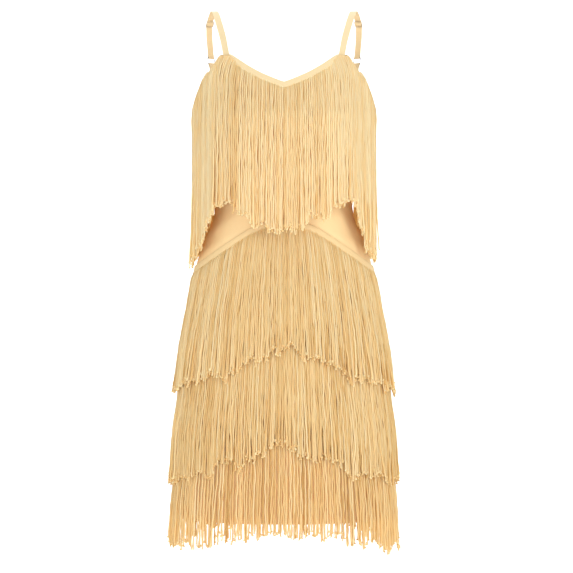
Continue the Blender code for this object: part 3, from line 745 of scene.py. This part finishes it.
def fringe_tree():
    """Cords hung from the top of a surface: swaying in locks, each with its own waver and a looped tip."""
    counts = ("Cords", "Layers", "Points on a cord", "Points in a loop", "Cord sides", "Seed")
    sizes = (
        "Width", "Length", "Cord radius", "Pile depth", "Lock size", "Lock pull", "Tuft size", "Tuft pull",
        "Waver", "Ragged ends", "Loop radius", "Stray share", "Tone",
    )
    sockets = [(label, "Int") for label in counts] + [(label, "Float") for label in sizes]
    t = GeometryNet("hung_cords", *sockets, ("Cord finish", "Material"))
    cord_count, layers, cord_points, loop_points, cord_sides, seed = [t.get(label) for label in counts]
    (
        width, length, cord_radius, pile_depth, lock_size, lock_pull, tuft_size, tuft_pull, waver,
        ragged_ends, loop_radius, stray_share, tone,
    ) = [t.get(label) for label in sizes]

    # one point for each cord, with what is its own, then a line of points for each cord to hang in
    index = t.add("GeometryNodeInputIndex")
    cords = t.add("GeometryNodePoints", {"Count": cord_count})
    cords = t.store(cords, "cord", index)
    cords = t.store(cords, "start", (index + t.random(0.05, 0.95, seed, index)) / cord_count)
    for number, label in enumerate(("tint", "turn", "reach", "wild")):
        cords = t.store(cords, label, t.random(0.0, 1.0, seed + (11.0 + number), index))
    row = t.sum("MODULO", index, layers) + t.random(0.0, 0.6, seed + 23.0, index)
    cords = t.store(cords, "deep", row / (layers - 0.4))
    line = t.add("GeometryNodeMeshLine", {"Count": cord_points}, mode="OFFSET")
    line = t.store(line, "step", index)
    hung = t.add("GeometryNodeInstanceOnPoints", {"Points": cords, "Instance": line})
    hung = t.add("GeometryNodeRealizeInstances", {"Geometry": hung})
    kept = ("cord", "start", "tint", "turn", "reach", "wild", "deep", "step", "along")
    cord, start, tint, turned, own_reach, wild, deep, step, along = [t.named(label) for label in kept]

    # how far down its fall a point is, and how far round its looped tip
    last = cord_points - 1.0
    straight = last - loop_points
    down = t.sum("MINIMUM", step / straight, 1.0)
    curl = t.sum("MAXIMUM", step - straight, 0.0) / loop_points
    place = start * width
    fallen = down * length
    free = t.sum("MULTIPLY_ADD", t.smooth(fallen, 0.0, 0.05), 0.7, 0.3)
    out_free = t.smooth(fallen, 0.003, 0.013)
    far = seed * 13.7
    fall = fallen / 0.16

    # smooth noise over the tier, for broad locks, locks and wisps, and each cord's own waver
    lock_place = place / lock_size
    wide_lock = t.noise(lock_place * 0.27, fall, far)
    lock = t.noise(lock_place, fall * 1.7, far + 5.0)
    wisp = t.noise(lock_place * 2.3, fall * 3.4, far + 9.0)
    own = t.noise(cord * 3.71, fall * 8.0, far + 2.0)
    own_deep = t.noise(cord * 3.71, fall * 6.0, far + 31.0)

    # tips drawn together in tufts
    tuft_place = place / tuft_size + t.noise(lock_place * 0.18, far, 12.9) * 0.9
    tuft = t.sum("FLOOR", tuft_place)
    off_tuft = tuft_place - tuft - 0.5
    tuft_grip = t.random(0.15, 1.0, seed + 41.0, tuft)
    tuft_reach = t.random(-1.0, 1.0, seed + 42.0, tuft)
    drawn_in = off_tuft * tuft_grip * (tuft_pull * tuft_size) * t.smooth(down, 0.62, 1.0)

    # sway along the tier, with a few stray cords, held still at both sides
    sway = t.sum("MULTIPLY_ADD", wide_lock, 0.8, lock) + wisp * 0.4
    sway = sway * lock_pull + own * waver - drawn_in
    stray = t.sum("POWER", wild, 1.0 / stray_share) * t.sum("POWER", down, 3.0) * 0.009
    sway = (sway + stray * (turned * 2.0 - 1.0)) * free
    from_side = t.sum("MINIMUM", start, 1.0 - start) * width
    across = start + sway * t.smooth(from_side, 0.0, 0.012) / width
    across = t.sum("MINIMUM", t.sum("MAXIMUM", across, 0.0004), 0.9996)

    # uneven ends, by cord, tuft and lock
    uneven = own_reach * -0.85 + tuft_reach * 0.60 - t.sum("ABSOLUTE", off_tuft) * (tuft_grip * 0.9)
    uneven = uneven + t.noise(lock_place * 0.7, far, 3.3) * 0.5
    uneven = uneven + t.noise(lock_place * 0.24, far, 7.7) * 1.1 + 0.45
    reach = 1.0 + uneven * ragged_ends / length
    hung_share = t.sum("MINIMUM", down * reach, SPARE - 0.005) / SPARE
    spot = t.vector(across, hung_share)
    point = t.sampled(t.add("GeometryNodeInputPosition"), "hang_map", spot)
    outward = t.sampled(t.named("outward", "FLOAT_VECTOR"), "hang_map", spot)

    # depth in the pile, out from the surface
    pile = deep + t.sum("MULTIPLY_ADD", wisp, 0.5, lock) * 0.16
    layer = pile * pile_depth + own_deep * (waver * 0.8) + stray * 0.7
    point = t.moved(point, outward, cord_radius + t.sum("MAXIMUM", layer * out_free, 0.0))

    # the looped tip, turned its own way
    sideways = {0: outward, 1: t.vector(0.0, 0.0, 1.0)}
    sideways = t.add("ShaderNodeVectorMath", sideways, "Vector", operation="CROSS_PRODUCT")
    facing = turned * 6.283
    to_side, to_front = t.sum("COSINE", facing), t.sum("ABSOLUTE", t.sum("SINE", facing))
    lean = t.moved(t.scaled(sideways, to_side), outward, to_front)
    turn = curl * (2.2 + tint * 2.8)
    sunk = t.vector(0.0, 0.0, t.sum("SINE", turn) * -1.0)
    hook = t.moved(t.scaled(lean, 1.0 - t.sum("COSINE", turn)), sunk)
    point = t.moved(point, hook, loop_radius * (0.5 + own_reach))
    hung = t.add("GeometryNodeSetPosition", {"Geometry": hung, "Position": point})

    # colour tone for the finish: each cord's own tint and the tier's tone, with painted shade on the cords
    # deeper in the pile and a painted highlight on the tips, then the round of the cord
    # painted shade: cords lying deeper in the pile get a lower tone, which the finish paints darker and more
    # orange, and the cords on top are painted paler
    shade = t.sum("MULTIPLY_ADD", tint - 0.5, 0.54, tone) + (pile - 0.5) * out_free * 0.46
    # painted highlight: the looped tips, the last of each cord's fall, get a higher tone and are painted paler
    hung = t.store(hung, "shade", shade + t.smooth(down, 0.93, 1.0) * 0.10 + own * 0.05)
    hung = t.store(hung, "along", step / last)
    curve = t.add("GeometryNodeMeshToCurve", {"Mesh": hung})
    swell = 0.80 + own_reach * 0.36 + t.smooth(along, 0.78, 0.95) * 0.14
    curve = t.add("GeometryNodeSetCurveRadius", {"Curve": curve, "Radius": swell})
    circle = {"Resolution": cord_sides, "Radius": cord_radius}
    profile = t.add("GeometryNodeCurvePrimitiveCircle", circle, mode="RADIUS")
    profile = t.store(profile, "around", t.add("GeometryNodeSplineParameter"))
    cloth = t.add("GeometryNodeCurveToMesh", {"Curve": curve, "Profile Curve": profile, "Fill Caps": True})
    lane = (cord + (0.1 + t.named("around") * 0.8)) / cord_count
    cloth = t.store(cloth, "OFBake", t.vector(lane, 0.01 + along * 0.98), "CORNER", "FLOAT2")
    t.end(cloth, "Cord finish")
    return t


def rayon_material():
    """Rayon cord: pale gold, with painted shade deepening it between the cords, soft and finely twisted, with
    light shining through.
    """
    cord = Finish("champagne_rayon", rough=0.62, gloss=0.03)
    shade, along, around = [
        cord.add("ShaderNodeAttribute", output="Fac", attribute_name=label)
        for label in ("shade", "along", "around")
    ]
    # the ramp's dark, deep orange end is painted shade for the cords deep in the pile; its pale end is reached
    # by the cords on top and the painted highlight on the tips
    colour = cord.add("ShaderNodeValToRGB", {"Fac": shade}, "Color")
    golds = colour.socket.node.color_ramp.elements
    golds[0].color, golds[1].color = (0.70, 0.45, 0.165, 1.0), (0.97, 0.87, 0.58, 1.0)
    golds.new(0.3).color = (0.845, 0.615, 0.27, 1.0)
    golds.new(0.62).color = (0.93, 0.75, 0.40, 1.0)
    cord.put(cord.shader.inputs["Base Color"], colour)
    cord.emboss(cord.sum("SINE", cord.sum("MULTIPLY_ADD", along, 110.0, around) * 6.2832), 0.2, 0.0002)
    through = cord.add("ShaderNodeBsdfTranslucent", {"Color": colour}, "BSDF")
    both = {0: 0.47, 1: cord.shader.outputs["BSDF"], 2: through}
    lit = cord.add("ShaderNodeMixShader", both, "Shader")
    cord.put(cord.tree.nodes["Material Output"].inputs["Surface"], lit)
    return cord.made


cord_tree = fringe_tree()
rayon = rayon_material()
# tier: cords in front, cords behind, lock size, lock pull, ragged ends, tuft size, tone; the top tier's higher
# tone is painted light, paler than the tiers below
TIER_LOOKS = {
    1: (423, 260, 0.0060, 0.00085, 0.0130, 0.0120, 0.70),
    2: (423, 360, 0.0060, 0.00085, 0.0115, 0.0110, 0.48),
    3: (429, 360, 0.0062, 0.00090, 0.0125, 0.0120, 0.45),
    4: (258, 228, 0.0066, 0.00110, 0.0115, 0.0100, 0.45),
}
fringes = {}
for facing, front in (("front", True), ("back", False)):
    for tier, (front_cords, back_cords, lock_size, lock_pull, ragged, tuft_size, tone) in TIER_LOOKS.items():
        name = "fringe_%d_%s" % (tier, facing)
        surface, width, length = hanging_surface(front, tier)
        mesh = cord_tree.run(name + "_cords", surface, {
            "Cords": front_cords if front else back_cords,
            "Layers": 2 if (tier, front) == (1, False) else 3,
            "Points on a cord": 38 if front else 28,
            "Points in a loop": 6 if front else 5,
            "Width": width,
            "Length": length,
            "Cord radius": CORD_RADIUS if front else CORD_RADIUS * 1.1,
            "Cord sides": 5,
            "Pile depth": 0.0022,
            "Lock size": lock_size,
            "Lock pull": lock_pull,
            "Tuft size": tuft_size,
            "Tuft pull": 0.30,
            "Waver": 0.0017,
            "Ragged ends": ragged,
            "Loop radius": 0.0012,
            "Stray share": 0.06,
            "Tone": tone,
            "Seed": 10 * tier + (1 if front else 6),
            "Cord finish": rayon,
        })
        fringes[name] = as_piece(name + "_cords", mesh, rayon, "fringe_rayon", name)

# ------------------------------------------------------------------------------
# Straps: soft satin elastic, sewn inside the front edge, over the shoulder, threaded through the slider,
# round the ring and back up to be sewn round the slider's middle bar. A short folded tab holds the ring in
# the back corner.
STRAP_WIDTH = 0.0110
STRAP_THICKNESS = 0.0009
# right-hand strap from inside the front edge to the back corner: x, y, z, turn of its width in degrees
STRAP_LINE = np.array((
    (0.0932, -0.0731, -0.1010, 25.0),
    (0.0930, -0.0691, -0.0866, 25.0),
    (0.0950, -0.0660, -0.0747, 24.0),
    (0.0994, -0.0560, -0.0528, 20.0),
    (0.1071, -0.0350, -0.0245, 10.0),
    (0.1125, -0.0165, -0.0072, 3.0),
    (0.1165, 0.0020, 0.0004, -4.0),
    (0.1213, 0.0200, -0.0045, -14.0),
    (0.1250, 0.0330, -0.0160, -24.0),
    (0.1264, 0.0425, -0.0330, -30.0),
    (0.1250, 0.0500, -0.0566, -35.0),
    (0.1240, 0.0524, -0.0700, -38.0),
    (0.1232, 0.0518, -0.0803, -40.0),
    (0.1216, 0.0507, -0.0920, -43.0),
    (0.1216, 0.0508, -0.1060, -43.0),
))
SLIDER_POINT, RING_TOP_POINT, RING_LOW_POINT = 8, 11, 12
WRAP_RADIUS = 0.0015
PINCH = (0.0022, 0.0013)  # where a folded strip closes beside the wire: distance from it, distance out
LAP = 0.00055  # half the gap between the two runs of a folded strip
# distance past the slider's middle, distance out: the strap threaded over the middle bar
THREADED = (
    (-0.0105, 0.0000), (-0.0068, -0.0009), (-0.0049, -0.0012), (-0.0041, -0.0011), (-0.0032, 0.0001),
    (-0.0023, 0.0011), (-0.0009, 0.00135), (0.0009, 0.00135), (0.0023, 0.0011), (0.0032, 0.0001),
    (0.0041, -0.0011), (0.0049, -0.0012), (0.0063, -0.00115), (0.0105, 0.00050),
)
# the same for its end, sewn round the middle bar
SEWN_END = (
    (0.0105, -0.0006), (0.0063, -0.00225), (0.0049, -0.00230), (0.0036, -0.0021), (0.0020, -0.00135),
    (0.0000, -0.00115), (-0.0009, -0.0011), (-0.00125, -0.0004), (-0.00125, 0.0003),
)

fine_line = []
for k in range(len(STRAP_LINE) - 1):
    p0, p1 = STRAP_LINE[max(k - 1, 0)], STRAP_LINE[k]
    p2, p3 = STRAP_LINE[k + 1], STRAP_LINE[min(k + 2, len(STRAP_LINE) - 1)]
    for t in np.arange(12) / 12:
        bend = 2 * p1 + (p2 - p0) * t + (2 * p0 - 5 * p1 + 4 * p2 - p3) * t * t
        fine_line.append(0.5 * (bend + (3 * p1 - p0 - 3 * p2 + p3) * t**3))
fine_line = np.array(fine_line + [STRAP_LINE[-1]])
run_length = np.concatenate([[0.0], np.cumsum(np.linalg.norm(np.diff(fine_line[:, :3], axis=0), axis=1))])
point_at = run_length[::12]


def strap_frame(distance):
    """Point, direction, width direction and outward direction on the strap line, straight in its fittings."""
    ring = (point_at[RING_TOP_POINT] + point_at[RING_LOW_POINT]) / 2
    ring_reach = (point_at[RING_LOW_POINT] - point_at[RING_TOP_POINT]) / 2 + 0.0026
    for middle, reach in ((point_at[SLIDER_POINT], 0.0072), (ring, ring_reach)):
        if abs(distance - middle) <= reach and distance != middle:
            point, direction, width, outward = strap_frame(middle)
            return point + direction * (distance - middle), direction, width, outward
    k = int(np.clip(np.searchsorted(run_length, distance, side="left") - 1, 0, len(run_length) - 2))
    share = (distance - run_length[k]) / (run_length[k + 1] - run_length[k])
    here = fine_line[k] + share * (fine_line[k + 1] - fine_line[k])
    direction = fine_line[min(k + 4, len(fine_line) - 1), :3] - fine_line[max(k - 3, 0), :3]
    direction /= np.linalg.norm(direction)
    level = np.array((math.cos(math.radians(here[3])), math.sin(math.radians(here[3])), 0.0))
    width = level - direction * (level @ direction)
    width /= np.linalg.norm(width)
    return here[:3], direction, width, np.cross(direction, width)


def rounded_path(path, rounds=2):
    """The path with its corners cut twice, ends kept."""
    path = np.array(path)
    for _ in range(rounds):
        low, high = path[:-1], path[1:]
        cut = np.stack([low * 0.75 + high * 0.25, low * 0.25 + high * 0.75], axis=1).reshape(-1, 2)
        path = np.concatenate([path[:1], cut[1:-1], path[-1:]])
    return path


def strip_mesh(name, path, side):
    """A soft strip with rolled edges through (distance, out) points; side is 1 on +X and -1 on -X."""
    half, thick = STRAP_WIDTH / 2, STRAP_THICKNESS / 2
    upper = [(-1.0, 0.0), (-0.97, 0.72), (-0.86, 1.0), (-0.78, 0.80)]
    upper += [(0.0, 0.86), (0.78, 0.80), (0.86, 1.0), (0.97, 0.72)]
    section = upper + [(-a, -b) for a, b in upper]
    rings = []
    for k, (distance, out) in enumerate(path):
        before, after = path[max(k - 1, 0)], path[min(k + 1, len(path) - 1)]
        run = after - before
        square = np.array((-run[1], run[0])) / np.hypot(*run)
        ring = []
        for across, up in section:
            point, _, width, outward = strap_frame(distance + square[0] * up * thick)
            spot = point + outward * (out + square[1] * up * thick) + width * across * half
            ring.append(spot * (side, 1, 1))
        rings.append(np.array(ring))
    return lofted(name, rings)


def satin_material():
    """Satin elastic: close ribs across the strap, a plush lustre, and a rolled edge on each side."""
    cloth = Finish("champagne_satin", rough=0.5, gloss=0.25, bloom=0.05, bloom_tint=GOLDEN_BLOOM)
    cloth.dye((0.74, 0.60, 0.36), (0.69, 0.545, 0.31), 160.0, 2200.0, (1.0, 1.0, 0.5))
    place = cloth.add("ShaderNodeUVMap", output="UV", uv_map="cloth_map")
    along = cloth.add("ShaderNodeSeparateXYZ", {"Vector": place}, "X")
    cloth.emboss(cloth.sum("SINE", along * 1500.0), 0.3, 0.0002)
    return cloth.made


def folded_run(distances, wire, way, inset=0.0):
    """Down one run of a folded strip, round the far side of a ring wire, and back up the other run."""
    outer, inner = LAP - inset, -LAP - inset
    turns = [math.radians(turn) for turn in (90, 45, 0, -45, -90)]
    bend = [(wire + way * WRAP_RADIUS * math.cos(turn), WRAP_RADIUS * math.sin(turn)) for turn in turns]
    pinch = wire - way * PINCH[0]
    bend = [(pinch, PINCH[1]), *bend, (pinch, -PINCH[1])]
    return [(d, outer) for d in distances] + bend + [(d, inner) for d in reversed(distances)]


slider_at, ring_top, ring_low = [point_at[k] for k in (SLIDER_POINT, RING_TOP_POINT, RING_LOW_POINT)]
low_run = (slider_at + 0.022, slider_at + 0.034, ring_top - 0.006)  # where the strap lies double
strap_path = [(d, 0.0) for d in np.arange(0.0, slider_at - 0.014, 0.004)]
strap_path += [(slider_at + d, out) for d, out in THREADED]
strap_path += folded_run(low_run, ring_top, 1, inset=0.00003)
strap_path += [(slider_at + d, out) for d, out in SEWN_END]
tab_path = folded_run((point_at[-1] - 0.0004, ring_low + 0.0085, ring_low + 0.0062), ring_low, -1)

satin = satin_material()
for hand, side in (("left", -1), ("right", 1)):
    for name, path in (("strap_" + hand, strap_path), ("ring_tab_" + hand, tab_path)):
        mesh = strip_mesh(name + "_elastic", rounded_path(path), side)
        as_piece(name + "_elastic", mesh, satin, "strap_satin", name)

# ------------------------------------------------------------------------------
# Stitching: rows of matching thread that hold the folded bindings, both edges of each tape, the turned hem
# and the strap ends. Each stitch is a short rounded float of thread, pulled slightly into the cloth.
STITCH_PITCH = 0.0032
STITCH_LENGTH = 0.0023
THREAD_WIDTH = 0.00050
# outer and inner leg of a binding: out from the form, share of the leg
LEG_ROWS = ((0.00272, -0.62), (-0.00328, -0.45))
TAPE_ROWS, TAPE_ROW_OUT = (0.10, 0.90), 0.00250  # share of the tape's width, out from the form
HEM_ROWS, HEM_ROW_OUT = (0.0152, 0.0124), 0.00032  # height over the hem, out from the form
STRAP_END_ROWS, STRAP_ROW_OUT = (0.0025, 0.0110), 0.00055  # distance along the strap, in from its middle


def stitch_tree():
    """Stitches laid end to end along rows: rows of points in, closed thread meshes out."""
    sizes = [(label, "Float") for label in ("Stitch pitch", "Stitch length", "Thread width", "Unevenness")]
    t = GeometryNet("stitch_rows", *sizes, ("Seed", "Int"), ("Thread finish", "Material"))
    row = t.add("GeometryNodeMeshToCurve", {"Mesh": t.get("Geometry")})
    row = t.add("GeometryNodeResampleCurve", {"Curve": row, "Length": t.get("Stitch pitch")}, mode="LENGTH")
    marks = t.add("GeometryNodeCurveToPoints", {"Curve": row}, "Points", mode="EVALUATED")
    low, high = 1.0 - t.get("Unevenness"), 1.0 + t.get("Unevenness")
    number = t.add("GeometryNodeInputIndex")
    long = t.get("Stitch length") * 0.5 * t.random(low, high, t.get("Seed"), number)
    thin = t.get("Thread width") * 0.5
    axes = {"Primary Axis": t.named("outward", "FLOAT_VECTOR"), "Secondary Axis": marks.also("Tangent")}
    turned = t.add("FunctionNodeAxesToRotation", axes, primary_axis="Z", secondary_axis="X")
    float_of_thread = t.add("GeometryNodeMeshIcoSphere", {"Radius": 1.0, "Subdivisions": 1})
    laid = {"Points": marks, "Instance": float_of_thread, "Rotation": turned}
    sewn = t.add("GeometryNodeInstanceOnPoints", {**laid, "Scale": t.vector(long, thin, thin)})
    t.end(t.add("GeometryNodeRealizeInstances", {"Geometry": sewn}), "Thread finish")
    return t


def rows_mesh(rows):
    """Open rows of points, each with the direction that faces out of the cloth there."""
    corners, away, edges = [], [], []
    for points, outward in rows:
        edges += [(len(corners) + k, len(corners) + k + 1) for k in range(len(points) - 1)]
        corners += [tuple(p) for p in points]
        away.append(np.asarray(outward) / np.linalg.norm(outward, axis=-1)[:, None])
    return directed_mesh("stitch_rows", corners, np.concatenate(away), edges=edges)


def row_on_form(front, angles, heights, out):
    points = on_form(front, angles, heights, out)
    outward = on_form(front, angles, heights, out + 0.01) - points
    return points, outward if out > -0.002 else -outward


def thread_material():
    """Soft spun thread in the colour of the cloth."""
    thread = Finish("matching_thread", rough=0.6, gloss=0.2)
    yarn = thread.dye((0.76, 0.59, 0.33), (0.66, 0.48, 0.24), 420.0, 5200.0, (1.0, 1.0, 1.0))
    thread.emboss(yarn, 0.4, 0.0001)
    return thread.made


sewn_rows = {seam: {"front": [], "back": []} for seam in ("binding", "tape", "hem")}
for facing, front in (("front", True), ("back", False)):
    neck = np.array(even_angles(-neck_last[front] + 0.6, neck_last[front] - 0.6, 1.2))
    seat = STRAP_SEAT_FRONT if front else STRAP_SEAT_BACK
    arm = np.array(even_angles(seat[1] + 1.0, 89.0, 1.2))
    for out, share in LEG_ROWS:
        for angles in (neck, arm, -arm):
            if out > 0 and angles is not neck:
                continue
            heights = cut_height(front, angles) + share * BINDING_LEG * edge_steepness(front, angles)
            at_edge = on_form(front, angles, cut_height(front, angles), out)
            _, outward = row_on_form(front, angles, heights, out)
            sewn_rows["binding"][facing].append((np.stack([*at_edge[:, :2].T, heights], axis=-1), outward))
    across = np.array(even_angles(-89.0, 89.0, 1.5))
    for tier in (2, 3, 4):
        for share in TAPE_ROWS:
            heights = header_height(tier, across) - TAPE_WIDTH * header_measure(tier, across) * share
            sewn_rows["tape"][facing].append(row_on_form(front, across, heights, TAPE_ROW_OUT))
    for level in HEM_ROWS:
        heights = np.full(across.shape, HEM_LEVEL + level)
        sewn_rows["hem"][facing].append(row_on_form(front, across, heights, HEM_ROW_OUT))
for side in (-1, 1):
    for distance in STRAP_END_ROWS:
        point, direction, width, outward = strap_frame(distance)
        inside = -outward * (side, 1, 1)
        across = [width * w * STRAP_WIDTH * 0.4 for w in np.linspace(-1, 1, 6)]
        spots = [(point + w - outward * STRAP_ROW_OUT) * (side, 1, 1) for w in across]
        sewn_rows["binding"]["front"].append((spots, np.tile(inside, (6, 1))))

stitches = stitch_tree()
thread = thread_material()
stitching = {"front": [], "back": []}
for number, (seam, rows) in enumerate(sewn_rows.items()):
    for facing in ("front", "back"):
        mesh = stitches.run("%s_stitches_%s" % (seam, facing), rows_mesh(rows[facing]), {
            "Stitch pitch": STITCH_PITCH,
            "Stitch length": STITCH_LENGTH,
            "Thread width": THREAD_WIDTH,
            "Unevenness": 0.12,
            "Seed": 60 + number,
            "Thread finish": thread,
        })
        slot = {"binding": "binding_jersey", "tape": "header_tape", "hem": "stretch_jersey"}[seam]
        stitching[facing].append(as_piece("%s_stitches_%s" % (seam, facing), mesh, thread, slot))

# ------------------------------------------------------------------------------
# Rings and sliders: small bright-plated fittings. Each ring is a bent wire with rounded corners, and each
# slider a pressed frame with a middle bar, its edges eased so that they don't cut the elastic.
RING_WIRE = 0.0016
RING_INSIDE = 0.0124
RING_CORNER = 0.0012
SLIDER_HALF = (0.0068, 0.0055)
SLIDER_BARS = (0.0010, 0.0012)
SLIDER_THICKNESS = 0.0010
SLIDER_EASE = 0.00028


def plated_material(name, colour, roughness):
    """Plated metal with faint rub marks that roughen it in streaks."""
    plate = Finish(name, metal=1.0)
    place = plate.add("ShaderNodeTexCoord", output="Object")
    rub = plate.add("ShaderNodeTexNoise", {"Vector": place, "Scale": 900.0, "Detail": 3.0}, "Fac")
    tints = {"Factor": rub, "A": (*[c * 0.9 for c in colour], 1.0), "B": (*colour, 1.0)}
    tint = plate.add("ShaderNodeMix", tints, "Result", data_type="RGBA")
    plate.put(plate.shader.inputs["Base Color"], tint)
    spread = {"Value": rub, "To Min": roughness * 0.6, "To Max": roughness * 1.7}
    plate.put(plate.shader.inputs["Roughness"], plate.add("ShaderNodeMapRange", spread, "Result"))
    return plate.made


def ring_mesh(name, side):
    low, high = point_at[RING_TOP_POINT], point_at[RING_LOW_POINT]
    centre, direction, width, outward = strap_frame((low + high) / 2)
    half_high, half_wide = (high - low) / 2, (RING_INSIDE + RING_WIRE) / 2
    rings = []
    for quarter, (sx, sy) in enumerate(((1, 1), (-1, 1), (-1, -1), (1, -1))):
        for part in range(5):
            angle = math.radians(quarter * 90 + part * 22.5)
            away = math.cos(angle) * width + math.sin(angle) * direction
            corner = width * sx * (half_wide - RING_CORNER) + direction * sy * (half_high - RING_CORNER)
            middle = centre + corner + away * RING_CORNER
            turns = [math.radians(36 * k) for k in range(10)]
            wire = [middle + RING_WIRE / 2 * (math.cos(a) * away + math.sin(a) * outward) for a in turns]
            rings.append(np.array(wire) * (side, 1, 1))
    faces, _ = grid_faces(len(rings), len(rings[0]), round_columns=True, round_rows=True)
    return closed_mesh(name, np.concatenate(rings), faces)


def slider_mesh(name, side):
    centre, direction, width, outward = strap_frame(point_at[SLIDER_POINT])
    (wide, high), (side_bar, bar) = SLIDER_HALF, SLIDER_BARS
    across_cuts = (-wide, -wide + side_bar, wide - side_bar, wide)
    along_cuts = (-high, -high + bar, -bar / 2, bar / 2, high - bar, high)
    corners = []
    for face in (-1, 1):
        for cut in along_cuts:
            for place in across_cuts:
                pull = 0.93 if abs(cut) > high - 1e-6 and abs(place) > wide - 1e-6 else 1.0
                spot = centre + width * place * pull + direction * cut * pull
                spot = spot + outward * face * SLIDER_THICKNESS / 2
                corners.append(spot * (side, 1, 1))
    solid = {(r, c) for r in range(5) for c in range(3) if not (c == 1 and r in (1, 3))}
    layer = 24
    faces = []
    for r, c in sorted(solid):
        loop = [r * 4 + c, r * 4 + c + 1, (r + 1) * 4 + c + 1, (r + 1) * 4 + c]
        faces += [loop, [k + layer for k in loop]]
        for k, cell in enumerate(((r - 1, c), (r, c + 1), (r + 1, c), (r, c - 1))):
            if cell not in solid:
                faces.append([loop[k], loop[(k + 1) % 4], loop[(k + 1) % 4] + layer, loop[k] + layer])
    return closed_mesh(name, corners, faces, eased=SLIDER_EASE)


ring_plate = plated_material("bright_plate_ring", (0.56, 0.56, 0.59), 0.20)
slider_plate = plated_material("bright_plate_slider", (0.70, 0.57, 0.40), 0.32)
fitting_kinds = (("ring", "wire", ring_mesh, ring_plate), ("slider", "frame", slider_mesh, slider_plate))
for hand, side in (("left", -1), ("right", 1)):
    for kind, part, make, plate in fitting_kinds:
        node = "%s_%s" % (kind, hand)
        name = "%s_%s" % (node, part)
        as_piece(name, make(name, side), plate, kind + "_metal", node)

# ------------------------------------------------------------------------------
# Cut cloth: the front and the back are each one piece of jersey with their bindings, tapes and fringe sewn
# on, hung from two elastic straps. Each strap runs from the front edge, through its ring and back up to its
# slider.
for facing in ("front", "back"):
    sewn_on = [fringes[name] for name in fringes if name.endswith(facing)]
    sewn_on += [tapes[name] for name in tapes if name.endswith(facing)]
    sewn_on += [bindings[facing + "_neck_binding"], *stitching[facing]]
    if facing == "front":
        sewn_on += [bindings["armhole_binding_left"], bindings["armhole_binding_right"]]
